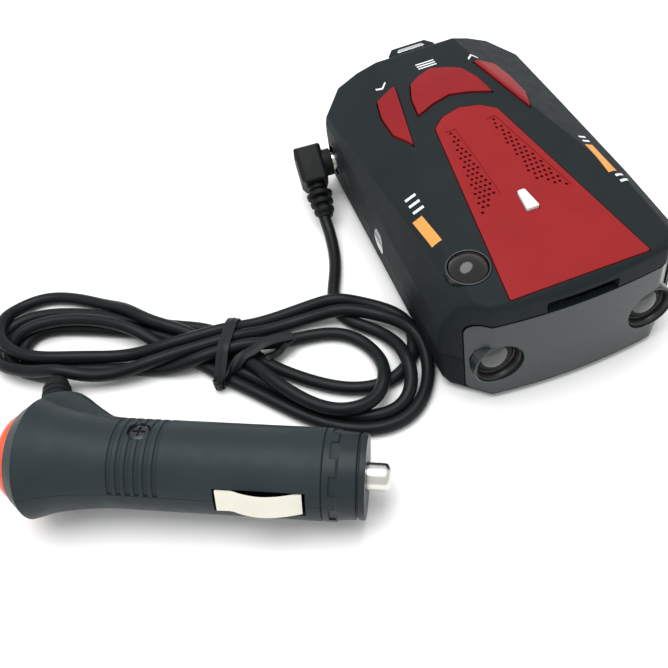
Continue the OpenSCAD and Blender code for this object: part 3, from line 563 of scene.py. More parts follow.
# --- the case
HALF_W = 32.0
FRONT_Y = -53.25
REAR_Y = 50.75
TAB_Y = 53.25
BASE_Z = 0.8
SPLIT_Z = 13.0
DECK_Z = 33.3
WALL = 2.0
LEAN = radians(6)
SAG = 1.6  # how far the front curves back at FRONT_HALF
FRONT_HALF = 22.0
CORNER_SLOPE = 0.9  # of the slanting front corners
EDGE_R = 2.0  # rounding of the case's edges

CROSS = [(29.4, BASE_Z), (31.5, 3.4), (HALF_W, SPLIT_Z), (31.4, 22), (29.6, 26.6), (27.5, 31.2),
    (24.5, DECK_Z)]
PLAN = [(HALF_W, 11), (31.6, 41.8), (23.8, 50.65), (8, REAR_Y)]
FRONT_ROLL = [(-48.2, DECK_Z), (-50.2, 31.8), (-51.2, 28)]
REAR_ROLL = [(30.75, DECK_Z), (48.35, 32.4), (REAR_Y, 28.2)]
DECK_HALF_FRONT = 26.5
DECK_FRONT_Y = -38.25
DECK_HALF_REAR = 9.8
DECK_REAR_Y = 51.25
SHOULDER_FALL = radians(26)
DECK_YAW = atan((DECK_HALF_FRONT - DECK_HALF_REAR) / (DECK_REAR_Y - DECK_FRONT_Y))


def chain_planes(chain, place):
    """Planes through the edges of a flat chain; place turns its (a, b) into a 3-D vector."""
    planes = []
    for p, q in zip(chain, chain[1:]):
        along = Vector(q) - Vector(p)
        normal = Vector((along.y, -along.x)).normalized()
        planes.append((place(*p), place(*normal)))
    return planes


def front_y(x):
    """Where the front wall stands in plan, before it leans back."""
    ax = abs(x)
    if ax <= FRONT_HALF:
        return SAG * (ax / FRONT_HALF) ** 2
    return SAG + (ax - FRONT_HALF) * CORNER_SLOPE


def case_planes():
    planes = [(Vector((0, 0, BASE_Z)), Vector((0, 0, -1))), (Vector((0, 0, DECK_Z)), Vector((0, 0, 1))),
        (Vector((0, REAR_Y, 0)), Vector((0, 1, 0)))]
    across, along = sin(SHOULDER_FALL) * cos(DECK_YAW), sin(SHOULDER_FALL) * sin(DECK_YAW)
    half = chain_planes(CROSS, lambda a, b: Vector((a, 0, b)))
    half += chain_planes(PLAN, lambda a, b: Vector((a, b, 0)))
    half.append((Vector((DECK_HALF_FRONT, DECK_FRONT_Y, DECK_Z)),
        Vector((across, along, cos(SHOULDER_FALL)))))
    for side in (1, -1):
        planes += [(Vector((p.x * side, p.y, p.z)), Vector((n.x * side, n.y, n.z))) for p, n in half]
    for p, n in chain_planes(REAR_ROLL, lambda a, b: Vector((0, a, b))):
        planes.append((p, -n if n.z < 0 else n))
    for p, n in chain_planes(FRONT_ROLL, lambda a, b: Vector((0, a, b))):
        planes.append((p, -n if n.y > 0 else n))
    steps = [k * FRONT_HALF / 10 for k in range(-10, 11)]
    xs = [-FRONT_HALF - 10] + steps + [FRONT_HALF + 10]
    for x0, x1 in zip(xs, xs[1:]):
        y0, y1 = front_y(x0), front_y(x1)
        flat = Vector((y1 - y0, -(x1 - x0))).normalized()
        point = Vector((x0, FRONT_Y + y0 * cos(LEAN), BASE_Z - y0 * sin(LEAN)))
        planes.append((point, Vector((flat.x, flat.y * cos(LEAN), -flat.y * sin(LEAN)))))
    return planes


CASE_PLANES = case_planes()


def top_height(x, y):
    """Height of the case's top surface at a place."""
    z = DECK_Z
    for p, n in CASE_PLANES:
        if n.z > 0.2:
            z = min(z, p.z - (n.x * (x - p.x) + n.y * (y - p.y)) / n.z)
    return z


def front_plate(half, z0, z1, depth0, depth1, corner, foot, samples=72):
    """A plate that follows the front wall, between two depths behind its face, with rounded corners."""
    xs = [half * sin(t) for t in np.linspace(-pi / 2, pi / 2, samples)]
    rings = []
    for x in xs:
        rise, dip = (r - sqrt(max(0.0, r ** 2 - max(0.0, r - (half - abs(x))) ** 2))
            for r in (foot, corner))
        low, high = z0 + rise, z1 - dip
        slope = (front_y(x + 2) - front_y(x - 2)) / 4
        normal = Vector((-slope, 1)).normalized()
        ring = []
        for depth, z in ((depth0, low), (depth0, high), (depth1, high), (depth1, low)):
            px, py = x + normal.x * depth, front_y(x) + normal.y * depth
            ring.append((px, FRONT_Y + py / cos(LEAN) + (z - BASE_Z) * tan(LEAN), z))
        rings.append(ring)
    return loft(rings)


LENS_X = 20.0
LENS_Z = 13.0
at_jack = shift(-31.6, 36.7, 11.7) @ spin(-5, "Z") @ spin(-90, "Y")
at_arm = at_jack @ shift(0, 0, 7.4) @ spin(-24, "Z") @ spin(90, "X")  # along the angled plug's arm


def at_lens(side):
    y = FRONT_Y + front_y(LENS_X) + (LENS_Z - BASE_Z) * tan(LEAN)
    return shift(side * LENS_X, y, LENS_Z) @ Matrix.Rotation(pi / 2 - LEAN, 4, "X")


def cylinder(radius, z0, z1, matrix=None, sides=48):
    return lathe([(0, z0), (radius, z0), (radius, z1), (0, z1)], matrix, sides)


def grown(outline, gap):
    """The outline moved outwards by gap."""
    pts = [Vector(p) for p in outline]
    area = sum(a.x * b.y - b.x * a.y for a, b in zip(pts, pts[1:] + pts[:1]))
    sign = 1 if area > 0 else -1
    out = []
    for k, p in enumerate(pts):
        d0, d1 = (p - pts[k - 1]).normalized(), (pts[(k + 1) % len(pts)] - p).normalized()
        n0, n1 = Vector((d0.y, -d0.x)) * sign, Vector((d1.y, -d1.x)) * sign
        m = (n0 + n1).normalized()
        out.append(tuple(p + m * gap / max(0.4, m.dot(n0))))
    return out


def mirrored(outline):
    return [(-x, y) for x, y in outline][::-1]


PANEL_OUTLINE = [(-17.4, -47.8), (17.4, -47.8), (9.1, 12.2), (5.5, 15.6), (0, 17.2), (-5.5, 15.6),
    (-9.1, 12.2)]
MENU_OUTLINE = [(10.9, 19), (10, 26), (7.8, 32.2), (4.6, 34.6), (0, 36.6), (-4.6, 34.6), (-7.8, 32.2),
    (-10, 26), (-10.9, 19), (-5.6, 21.7), (0, 23.3), (5.6, 21.7)]
FIN_OUTLINE = [(16.8, 8.6), (19.4, 16), (19.4, 25), (18, 32.2), (12.1, 33.4)]
PANEL_TOP = 33.5
PANEL_T = 1.4
KEY_GAP = 0.35
DOME_AT = (-21.6, -35.1)
DOME_R = 4.8
DOME_RING_R = 5.4
INNER_Z = DECK_Z - WALL
WINDOW_HALF = 27.2
WINDOW_Z0 = 2.0
WINDOW_Z1 = 26.2
WINDOW_INSET = 0.4
WINDOW_T = 1.8
WINDOW_CORNER = 4.5  # radius of the window's upper corners
WINDOW_FOOT = 1.2  # radius of its lower corners
BROW = 1.0  # the dark gap above the window
SCREWS = [(x, y) for x in (-24, 24) for y in (-22, 29)]
DISPLAY_HALF = 21.0
SEAM = 0.08  # half the fine gap between the two halves

outer = rounded_solid(CASE_PLANES, EDGE_R)
inner = solid_from_planes(inset_planes(CASE_PLANES, WALL))
shell = cut(outer, inner)

TAB_Z = 31.2
tab = prism([(-7.3, REAR_Y - 3), (7.3, REAR_Y - 3), (7.3, REAR_Y - 0.2), (5.3, TAB_Y), (-5.3, TAB_Y),
    (-7.3, REAR_Y - 0.2)], 26.9, TAB_Z)
bevel_sharp(tab, 0.5, segments=3)
window_pocket = front_plate(WINDOW_HALF + 0.15, WINDOW_Z0 - 0.15, WINDOW_Z1 + BROW, -4,
    WINDOW_INSET + WINDOW_T + 0.1, WINDOW_CORNER, WINDOW_FOOT)
window_back = block(-WINDOW_HALF + 2, WINDOW_HALF - 2, FRONT_Y - 2, FRONT_Y + 7, WINDOW_Z0 + 2.8,
    WINDOW_Z1 - 1)
bracket_slot = prism(rounded_outline([(-9, 26.8), (9, 26.8), (9, 30.2), (-9, 30.2)], 0.6), -FRONT_Y - 7,
    -FRONT_Y + 1, spin(90, "X"))
display_opening = block(-DISPLAY_HALF - 0.1, DISPLAY_HALF + 0.1, REAR_Y - 4, REAR_Y + 4, 14.9, 26.5)

upper_tools = [
    window_pocket.copy(), window_back.copy(), bracket_slot, display_opening,
    prism(rounded_outline(grown(PANEL_OUTLINE, 0.2), 0.8), PANEL_TOP - PANEL_T, 40),
    prism([(-11.2, -19.5), (11.2, -19.5), (8.4, 9.5), (-8.4, 9.5)], 29, 34),
    *(prism(rounded_outline(grown(o, KEY_GAP), 0.7), 20, 40)
      for o in (MENU_OUTLINE, FIN_OUTLINE, mirrored(FIN_OUTLINE))),
    cylinder(DOME_RING_R + 0.1, INNER_Z - 4, 40, shift(*DOME_AT)),
    cylinder(4.5, -12, 8, at_jack),
    block(-60, 60, -70, 70, -5, SPLIT_Z + SEAM),
]
upper = cut(join(shell.copy(), tab), *upper_tools)
bosses = []
for x, y in SCREWS:
    bosses.append(cut(common(cylinder(3.2, SPLIT_Z + SEAM, 36, shift(x, y)),
        solid_from_planes(inset_planes(CASE_PLANES, WALL - 0.3))),
        cylinder(1.05, 0, SPLIT_Z + 7, shift(x, y))))
upper = join(upper, *bosses)
piece("case_top", upper, CASE, "upper_case")

lower_tools = [
    window_pocket, window_back, cylinder(4.5, -12, 8, at_jack),
    block(-60, 60, -70, 70, SPLIT_Z - SEAM, 60),
    block(-16.1, 16.1, 29.9, 42.1, 0, BASE_Z + 0.4),
]
lower = cut(shell, *lower_tools)
for x, y in SCREWS:
    at = shift(x, y)
    boss = common(cylinder(3.2, 0, SPLIT_Z - SEAM, at),
        solid_from_planes(inset_planes(CASE_PLANES, WALL - 0.3)))
    lower = cut(join(lower, boss), cylinder(1.25, -1, 20, at), cylinder(2.3, -1, 3.4, at))
piece("case_bottom", lower, CASE_LOWER, "lower_case")

# --- window and lenses
LENS_HOLE_R = 6.1
LENS_R = 4.6
window = front_plate(WINDOW_HALF, WINDOW_Z0, WINDOW_Z1, WINDOW_INSET, WINDOW_INSET + WINDOW_T,
    WINDOW_CORNER, WINDOW_FOOT)
collars = [soft_lathe([(0, -3.4), (LENS_HOLE_R + 0.5, -3.4), (LENS_HOLE_R + 0.5, -0.45), (0, -0.45)], 0.3,
    at_lens(s), 64) for s in (-1, 1)]
window = cut(join(window, *collars), *[cylinder(LENS_HOLE_R, -10, 10, at_lens(s), 64) for s in (-1, 1)])
bevel_sharp(window, 0.2, angle=50)
piece("window_plate", window, WINDOW, "front_window")

BEZEL_PROFILE = [(LENS_R + 0.05, -4.6), (LENS_HOLE_R - 0.05, -4.6), (LENS_HOLE_R - 0.05, -0.9),
    (LENS_HOLE_R - 0.35, -0.7), (LENS_HOLE_R - 0.7, -1.3), (5.2, -1.7), (5.1, -2.6), (4.85, -2.8),
    (LENS_R + 0.05, -3.2)]
LENS_PROFILE = [(0, -4.6), (LENS_R, -4.6), (LENS_R, -3.1), (4.2, -2.6), (3.6, -2.1), (2.8, -1.7),
    (1.9, -1.35), (1, -1.2), (0, -1.15)]
for side, word in ((-1, "left"), (1, "right")):
    bezel = soft_lathe(BEZEL_PROFILE, 0.2, at_lens(side), 64)
    piece("bezel_" + word, bezel, BEZEL, "lens_bezel_" + word)
    piece("lens_" + word, lathe(LENS_PROFILE, at_lens(side), 64), LENS, "front_lens_" + word)

# --- red panel and keys
LIGHT_Y = -22.0
FIELD_ROWS = 19
FIELD_Y0, FIELD_Y1 = -21.0, 8.6
FIELD_WIDEST = 0.16  # how far along a field is widest
HOLE_PITCH = 1.3


def field_edge(t):
    """(outer x, width) of a field of perforations at t from its front end to its rear end."""
    if t < FIELD_WIDEST:
        width = 0.2 + 4.8 * t / FIELD_WIDEST
    else:
        width = 5.0 - 4.2 * (t - FIELD_WIDEST) / (1 - FIELD_WIDEST)
    return 11.2 - 5.0 * t, width


def field_outline(margin):
    outer_side, inner_side = [], []
    for t in np.linspace(0, 1, 14):
        x, width = field_edge(t)
        y = FIELD_Y0 + t * (FIELD_Y1 - FIELD_Y0)
        y += margin * (2 * t - 1)
        outer_side.append((x + margin, y))
        inner_side.append((x - width - margin, y))
    return outer_side + inner_side[::-1]


def perforations():
    """Staggered holes of both fields as one cutting tool."""
    bm = bmesh.new()
    for row in range(FIELD_ROWS):
        t = row / (FIELD_ROWS - 1)
        x, width = field_edge(t)
        y = FIELD_Y0 + t * (FIELD_Y1 - FIELD_Y0)
        offset = 0.5 * (row % 2) * HOLE_PITCH
        k = 0
        while k * HOLE_PITCH + offset <= width + 0.3:
            px = x - offset - k * HOLE_PITCH
            for side in (-1, 1):
                bmesh.ops.create_cone(bm, cap_ends=True, segments=10, radius1=0.43, radius2=0.43, depth=4,
                    matrix=Matrix.Translation((side * px, y, PANEL_TOP)))
            k += 1
    return bm


LIGHT_OUTLINE = [(-1.7, LIGHT_Y - 3.3), (1.7, LIGHT_Y - 3.3), (1, LIGHT_Y + 3.3), (-1, LIGHT_Y + 3.3)]
panel = prism(rounded_outline(PANEL_OUTLINE, 0.7), PANEL_TOP - PANEL_T, PANEL_TOP)
bevel_sharp(panel, 0.25, angle=60)
panel = cut(panel, prism(field_outline(1.0), PANEL_TOP - 0.18, PANEL_TOP + 1),
    prism(mirrored(field_outline(1.0)), PANEL_TOP - 0.18, PANEL_TOP + 1))
panel = cut(panel, perforations(), prism(grown(LIGHT_OUTLINE, 0.12), PANEL_TOP - 0.8, PANEL_TOP + 2))
piece("red_panel", panel, RED, "top_panel")

wedge = prism(rounded_outline(LIGHT_OUTLINE, 0.5), PANEL_TOP - 0.8, PANEL_TOP + 0.9)
bevel_sharp(wedge, 0.35, angle=60, segments=3)
piece("light_wedge", wedge, LIGHT, "status_light")

SWITCH_TOP = 25.2
KEY_PROUD = 0.5
KEY_TRAVEL = 0.6
PRESS_ROOM = 0.3


def key(outline, flange_top, stem_at):
    """A key that stands proud of the case and follows its slopes, with its flange and stem."""
    stem_bottom = SWITCH_TOP + KEY_TRAVEL + PRESS_ROOM
    lifted = solid_from_planes([(Vector(p) + Vector((0, 0, KEY_PROUD)), n) for p, n in CASE_PLANES])
    body = common(prism(rounded_outline(outline, 0.55), flange_top - 0.5, 40), lifted)
    bevel_sharp(body, 0.35, angle=50, segments=3,
        where=lambda e: min(v.co.z for v in e.verts) > flange_top + 0.2)
    flange = prism(rounded_outline(grown(outline, KEY_GAP + 0.7), 1.2), flange_top - 1, flange_top)
    stem = cylinder(1.6, stem_bottom, flange_top - 0.5, shift(*stem_at))
    return join(body, flange, stem)


piece("key_menu", key(MENU_OUTLINE, 30, (0, 28)), RED_KEY, "menu_button", "menu_key")
piece("key_up", key(FIN_OUTLINE, 27.6, (16.8, 23)), RED_KEY, "up_button", "up_key")
piece("key_down", key(mirrored(FIN_OUTLINE), 27.6, (-16.8, 23)), RED_KEY, "down_button", "down_key")

# --- dome and badge
at_dome = shift(*DOME_AT)
dome_base = INNER_Z - 0.6
piece("dome_bezel", soft_lathe([(DOME_R + 0.05, dome_base), (DOME_RING_R, dome_base),
    (DOME_RING_R, dome_base + 2.8), (DOME_R + 0.05, dome_base + 2.8)], 0.2, at_dome, 64), BEZEL,
    "dome_ring")
BALL = 6.0
dome_rise = BALL - sqrt(BALL ** 2 - DOME_R ** 2)
dome_arc = [(BALL * sin(a), dome_base + 2.5 - (BALL - dome_rise) + BALL * cos(a))
    for a in np.linspace(asin(DOME_R / BALL), 0, 12)]
piece("dome_cover", lathe([(0, dome_base), (DOME_R, dome_base)] + dome_arc[:-1] + [(0, dome_arc[-1][1])],
    at_dome, 64), DOME, "dome_lens")

bar = prism(rounded_outline([(-4.5, TAB_Y - 2.8), (4.5, TAB_Y - 2.8), (3.7, TAB_Y - 1.4),
    (-3.7, TAB_Y - 1.4)], 0.4), TAB_Z - 0.6, TAB_Z + 0.1)
bevel_sharp(bar, 0.15, angle=60)
piece("badge_bar", bar, CHROME, "rear_badge")


# --- DC plug at the jack
ARM_FRONT = 6.6  # from the jack's axis to the strain relief


def arm_planes():
    half = 4.1
    local = [((0, 0, -5.4), (0, 0, -1)), ((0, 0, ARM_FRONT), (0, 0, 1)), ((-4.6, 0, 0), (-1, 0, 0)),
        ((4.6, 0, 0), (1, 0, 0)), ((0, -half, 0), (0, -1, 0)), ((0, half, 0), (0, 1, 0)),
        ((3.4, half, 0), (1, 1, 0)), ((3.4, -half, 0), (1, -1, 0)), ((-4.6, 0, -3.6), (-1, 0, -1)),
        ((4.6, 0, -4.2), (1, 0, -1)), ((0, 3.1, ARM_FRONT), (0, 1, 0.6)),
        ((0, -3.1, ARM_FRONT), (0, -1, 0.6))]
    turn = at_arm.to_3x3()
    return [(at_arm @ Vector(p), turn @ Vector(n).normalized()) for p, n in local]


plug_block = join(rounded_solid(arm_planes(), 0.8),
    soft_lathe([(0, 1), (4, 1), (4, 3.8), (0, 3.8)], 0.3, at_jack))
dimple = lathe([(0, -0.9), (0.8, -0.7), (1.25, 0), (1.25, 1.5), (0, 1.5)],
    at_arm @ shift(1.6, 4.1, -3.2) @ spin(-90, "X"), 32)
plug_block = cut(plug_block, dimple, cylinder(2.77, -1, 1, at_jack))
dc_plug = piece("dc_plug_block", plug_block, RUBBER, "dc_plug_body")

RELIEF_SMALL = [(0, 0), (2.9, 0), (2.9, 1.4), (2.3, 1.6), (2.3, 2.5), (3.9, 2.6), (3.8, 3.9), (2.3, 4.0),
    (2.3, 5.0), (3.5, 5.1), (3.4, 6.4), (2.2, 6.5), (2.2, 7.5), (3.1, 7.6), (3, 8.9), (2.3, 9.4),
    (2.1, 10.4), (0, 10.4)]
small_relief = soft_lathe(RELIEF_SMALL, 0.3, at_arm @ shift(0, 0, ARM_FRONT), 48)
dc_relief = piece("dc_relief_ribs", small_relief, RUBBER, "dc_strain_relief")

# --- lighter plug
plug = shift(-132, -30.6, 14.25) @ spin(-24, "Z") @ spin(-20, "X") @ spin(2.8, "Y")
plug_axis = plug @ spin(90, "Y")
relief = plug @ shift(6, 0, 0) @ spin(21.5, "Z") @ spin(-90, "X")
BARREL_R = 10.5
RIM_R = 14.2
RIM_S = 2.3  # where the rim stands along the barrel
BARREL_S = 70.6
NOSE_S = 80.0
PIN_TIP = 85.6
PIN_R = 3.2
SHELL_T = 1.8
MOUTH = 21.0  # where the boot leaves the branch
BOOT_R = 3.8
LEAF_HALF = 3.0  # half the width of the ground contacts
SLOT_HALF = LEAF_HALF + 0.35
SLOT_FROM, SLOT_TO = 46.6, 67.2
SCREW_S = 28.2
GROOVE_S = 22.4
GROOVE_STEP = 2.1
GROOVES = 6

bell = smooth_line([(RIM_R, RIM_S + 0.05, 0), (13.5, 4.4, 0), (12.6, 7, 0), (12, 9.6, 0), (11.4, 13, 0),
    (10.9, 17, 0), (10.55, 21, 0)], 0.8)
SCREW_HEAD = BARREL_R - 1.5
at_screw = plug @ shift(SCREW_S, 0, 0)


def shell_profile(grooved):
    profile = [(0, RIM_S + 0.05)] + [(p[0], p[1]) for p in bell]
    if grooved:
        for k in range(GROOVES):
            s = GROOVE_S + k * GROOVE_STEP
            profile += [(BARREL_R, s), (BARREL_R - 0.28, s + 0.15), (BARREL_R - 0.4, s + 0.4),
                (BARREL_R - 0.4, s + 0.8), (BARREL_R - 0.28, s + 1.05), (BARREL_R, s + 1.2)]
    return profile + [(BARREL_R, 45), (BARREL_R, BARREL_S - 0.3), (BARREL_R - 0.3, BARREL_S), (0, BARREL_S)]


INSIDE_PROFILE = [(0, -1), (RIM_R - SHELL_T, -1), (RIM_R - SHELL_T, RIM_S + 0.05), (11.5, 4), (10.2, 9.6),
    (BARREL_R - SHELL_T, 22), (BARREL_R - SHELL_T, BARREL_S + 1), (0, BARREL_S + 1)]

# Sections of the branch: near and far ends in (along, across), and half the thickness
BRANCH = [((4, 5), (26, 6.4), 4.6), ((2.4, 8), (24, 9.6), 5.0), ((1.9, 10.4), (20.4, 11.2), 5.1),
    ((1.6, 12.4), (17, 13), 5.2), ((1.2, 14.2), (13.8, 15.1), 5.2), ((-2.2, 16), (11.2, 17.2), 5.1),
    ((-4.6, 17.2), (9.2, 18.9), 5.0), ((-5.6, 17.9), (7.2, 20.3), 4.8), ((-5.3, 18.2), (5.4, 21.0), 4.4),
    ((-4.6, 18.6), (3.4, 21.4), 3.9)]


def branch():
    rings = []
    for near, far, half in BRANCH:
        centre = (Vector(near) + Vector(far)) / 2
        reach = (Vector(far) - Vector(near)) / 2
        ring = []
        for k in range(40):
            a = 2 * pi * k / 40
            c, s = cos(a), sin(a)
            fx, fz = copysign(abs(c) ** 0.8, c), copysign(abs(s) ** 0.8, s)
            ring.append((centre.x + reach.x * fx, centre.y + reach.y * fx, half * fz))
        rings.append(ring)
    return loft(rings, plug)


def plug_shell(is_upper):
    whole = join(lathe(shell_profile(is_upper), plug_axis, 128), branch())
    tools = [lathe(INSIDE_PROFILE, plug_axis, 96),
        block(SLOT_FROM, SLOT_TO, 6, 14, -SLOT_HALF, SLOT_HALF, plug),
        block(SLOT_FROM, SLOT_TO, -14, -6, -SLOT_HALF, SLOT_HALF, plug),
        cylinder(BOOT_R + 0.1, 16.4, 40, relief), cylinder(1.95, 8, 20, relief)]
    if is_upper:
        tools += [cylinder(1.35, 0, 20, at_screw), cylinder(2.7, SCREW_HEAD, 20, at_screw),
            block(-20, 90, -40, 40, -60, 0.05, plug)]
    else:
        tools += [block(-20, 90, -40, 40, -0.05, 60, plug)]
    return cut(whole, *tools)


shell_top = piece("plug_shell_top", plug_shell(True), PLUG, "plug_shell_upper", smooth=24)
shell_base = piece("plug_shell_base", plug_shell(False), PLUG, "plug_shell_lower", smooth=24)

END_RING = [(RIM_R, RIM_S), (RIM_R - 0.2, RIM_S - 0.3), (11.5, -1.2), (10.7, -1.2), (10.7, RIM_S + 1.6),
    (11.5, RIM_S + 1.6), (11.5, RIM_S)]
end_ring = piece("plug_rim_ring", soft_lathe(END_RING, 0.25, plug_axis, 128), PLUG, "plug_end_ring")
BUTTON_PROFILE = [(0, -5.8), (3, -5.72), (5.5, -5.5), (7.2, -5.1), (8.4, -4.6), (9.4, -3.9), (10, -3.1),
    (10.3, -2.2), (10.3, 2), (0, 2)]
switch_cap = piece("switch_cap", lathe(BUTTON_PROFILE, plug_axis, 96), GLOW, "switch_button", "switch_key")

screw = soft_lathe([(0, 0.7), (1.2, 0.7), (1.2, SCREW_HEAD), (2.5, SCREW_HEAD), (2.5, SCREW_HEAD + 0.7),
    (1.6, SCREW_HEAD + 1.0), (0, SCREW_HEAD + 1.05)], 0.15, at_screw, 48)
screw = cut(screw, block(-1.5, 1.5, -0.3, 0.3, SCREW_HEAD + 0.5, 12, at_screw),
    block(-0.3, 0.3, -1.5, 1.5, SCREW_HEAD + 0.5, 12, at_screw))
screw_piece = piece("plug_screw_head", screw, BLACK_STEEL, "plug_screw")

BOOT = [(0, -4.4), (BOOT_R, -4.4), (BOOT_R, -0.4), (3.4, -0.2), (3.4, 0.4), (3.9, 0.6), (3.9, 1.7),
    (3.4, 1.9), (3.4, 2.5), (3.85, 2.7), (3.85, 3.9), (3.3, 4.1), (3.3, 4.7), (3.75, 4.9), (3.7, 6.3),
    (3.2, 6.6), (3.0, 9), (0, 9)]
boot = piece("plug_boot", soft_lathe(BOOT, 0.2, relief @ shift(0, 0, MOUTH), 48), RUBBER,
    "plug_strain_relief")

LEAF_OUTSIDE = [(47.2, 10.4), (50.6, 10.4), (52.8, 11.1), (56, 11.7), (58.6, 11.75), (61.8, 11.25),
    (65, 10.35), (66.4, 9.9)]
LEAF_T = 0.55


def leaf(side):
    """Bowed strip of sprung metal, with its long edges rolled over slightly."""
    line = smooth_line([(s, y, 0) for s, y in LEAF_OUTSIDE], 0.6)
    rings = []
    for k, p in enumerate(line):
        ahead = line[min(k + 1, len(line) - 1)] - line[max(k - 1, 0)]
        normal = Vector((-ahead[1], ahead[0])).normalized()
        edge = LEAF_HALF - 0.3
        outside = [(-LEAF_HALF, 0.12), (-edge, 0), (edge, 0), (LEAF_HALF, 0.12)]
        inside = [(LEAF_HALF, LEAF_T), (edge, LEAF_T), (-edge, LEAF_T), (-LEAF_HALF, LEAF_T)]
        ring = [(p[0] - normal.x * deep, side * (p[1] - normal.y * deep), z) for z, deep in outside + inside]
        rings.append(ring)
    return loft(rings, plug)


leaf_near = piece("leaf_near", leaf(-1), LEAF, "ground_contact_near", "near_contact")
leaf_far = piece("leaf_far", leaf(1), LEAF, "ground_contact_far", "far_contact")

NOSE = [(BARREL_R, BARREL_S + 0.05), (BARREL_R, BARREL_S + 3), (10, BARREL_S + 3.4), (9.8, NOSE_S - 2),
    (9.2, NOSE_S - 1.9), (9.2, NOSE_S - 1.5), (9.8, NOSE_S - 1.4), (9.8, NOSE_S), (PIN_R + 0.35, NOSE_S),
    (PIN_R + 0.35, NOSE_S - 2.4), (5.4, NOSE_S - 2.4), (5.4, BARREL_S - 3), (8.4, BARREL_S - 3),
    (8.4, BARREL_S + 0.05)]
nose = soft_lathe(NOSE, 0.2, plug_axis)
NOTCHES = 8
notch_tools = []
for k in range(NOTCHES):
    turn = plug @ Matrix.Rotation(2 * pi * (k + 0.35) / NOTCHES, 4, "X")
    notch_tools.append(block(BARREL_S + 1.5, BARREL_S + 3.6, 9.95, 12, -2.2, 2.2, turn))
nose = cut(nose, *notch_tools)
nose_piece = piece("nose_collar", nose, NOSE_MAT, "nose_cap")

PIN = [(0, NOSE_S - 5.6), (4.6, NOSE_S - 5.6), (4.6, NOSE_S - 2.8), (PIN_R, NOSE_S - 2.8),
    (PIN_R, PIN_TIP - 1.6), (3.05, PIN_TIP - 1.0), (2.6, PIN_TIP - 0.45), (1.9, PIN_TIP - 0.15),
    (1.0, PIN_TIP), (0, PIN_TIP)]
pin_piece = piece("centre_pin", lathe(PIN, plug_axis, 64), NICKEL, "contact_pin", "tip")

# --- tie round the hank
tie_frame = shift(*HANK_AT) @ Matrix.Rotation(HANK_TURN, 4, "Z")
to_tie = tie_frame.inverted()
lead_uv = np.array([to_tie @ Vector(p) for p in cord_line])
TIE_W = 3.2
TIE_T = 0.7


def strap(name, path, sideways, width, twist=0.0):
    """A flat strap with a rib along its middle, swept along a path; twist in turns over the first part."""
    section = [(-0.5, 0.18), (-0.5, -0.18), (-0.42, -0.26), (-0.14, -0.26), (0, -0.5), (0.14, -0.26),
        (0.42, -0.26), (0.5, -0.18), (0.5, 0.18), (0.42, 0.26), (0.14, 0.26), (0, 0.5), (-0.14, 0.26),
        (-0.42, 0.26)]
    rings = []
    count = len(path)
    for k, p in enumerate(path):
        t = Vector(path[min(k + 1, count - 1)]) - Vector(path[max(k - 1, 0)])
        t.normalize()
        wide = Vector(sideways)
        wide = (wide - t * wide.dot(t)).normalized()
        share = min(1.0, k / (count - 1) / 0.45)
        wide = Matrix.Rotation(twist * 2 * pi * (1 - share) ** 1.2, 3, t) @ wide
        thick = t.cross(wide)
        rings.append([Vector(p) + wide * a * width + thick * b * TIE_T * 1.3 for a, b in section])
    return piece(name, loft(rings, tie_frame), TIE, "hank_tie", replaces=False, smooth=50)


waist = lead_uv[np.abs(lead_uv[:, 0]) < 2.2][:, 1:]
reach = CORD_D / 2 + TIE_T * 0.6
rim = [(v + reach * cos(a), z + reach * sin(a))
    for v, z in waist for a in np.linspace(0, 2 * pi, 24, endpoint=False)]
rim = [(v, max(z, TIE_T)) for v, z in rim]
loop = [rim[k] for k in convex_hull_2d(rim)]
low_near = min(range(len(loop)), key=lambda k: loop[k][0] + 0.2 * abs(loop[k][1] - 4.5))
loop = loop[low_near:] + loop[:low_near + 1]
loop_path = resample(np.array([(0, v, z) for v, z in loop]), 0.7)
tie_loop = strap("tie_loop", loop_path, (1, 0, 0), TIE_W)
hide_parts("hank_tie")


def lead_top(u, v):
    """Height of the top of the lead near a place in the tie's frame."""
    away = np.hypot(lead_uv[:, 0] - u, lead_uv[:, 1] - v)
    near = away < CORD_D / 2 + 1.0
    if not near.any():
        return 0.0
    return float((lead_uv[near, 2] + np.sqrt(np.maximum(0,
        (CORD_D / 2) ** 2 - np.maximum(0, away[near] - 1.0) ** 2))).max())


def laid(points, clearance, step=0.6):
    """A path over the lead through (u, v) points, smoothed in height."""
    flat = smooth_line([(u, v, 0) for u, v in points], step)
    heights = np.array([max(0.6, lead_top(p[0], p[1]) + clearance) for p in flat])
    for _ in range(12):
        soft = heights.copy()
        soft[1:-1] = (heights[:-2] + heights[2:]) / 2
        heights = np.maximum(heights, soft)
    flat[:, 2] = heights
    return flat


knot_v = loop[0][0]
tail_path = laid([(-0.6, knot_v - 0.9), (1.6, knot_v + 0.6), (4.5, -4.2), (7.5, -1.2), (10.5, 1.6),
    (13.8, 4.0), (17.0, 5.7)], 0.75)
tail_path[0][2] = loop[0][1]
tail_path[1][2] = (tail_path[0][2] + tail_path[2][2]) / 2
tie_tail = strap("tie_tail", tail_path, (0.6, -0.8, 0), 2.9, twist=0.5)
end_path = laid([(17.2, 5.6), (15.2, 3.0), (13.0, 0.6), (11.0, -1.4)], 0.3)
end_path[:, 2] -= 0.35
tie_end = strap("tie_end", end_path, (0.7, -0.7, 0.2), 2.6)
turns = [(cos(a) * 0.9 - 0.2, knot_v - 0.7 + sin(a) * 0.5, loop[0][1] - 1.8 + 3.4 * a / (4 * pi))
    for a in np.linspace(0, 4 * pi, 40)]
tie_knot = strap("tie_knot", turns, (0, 0, 1), 2.2)


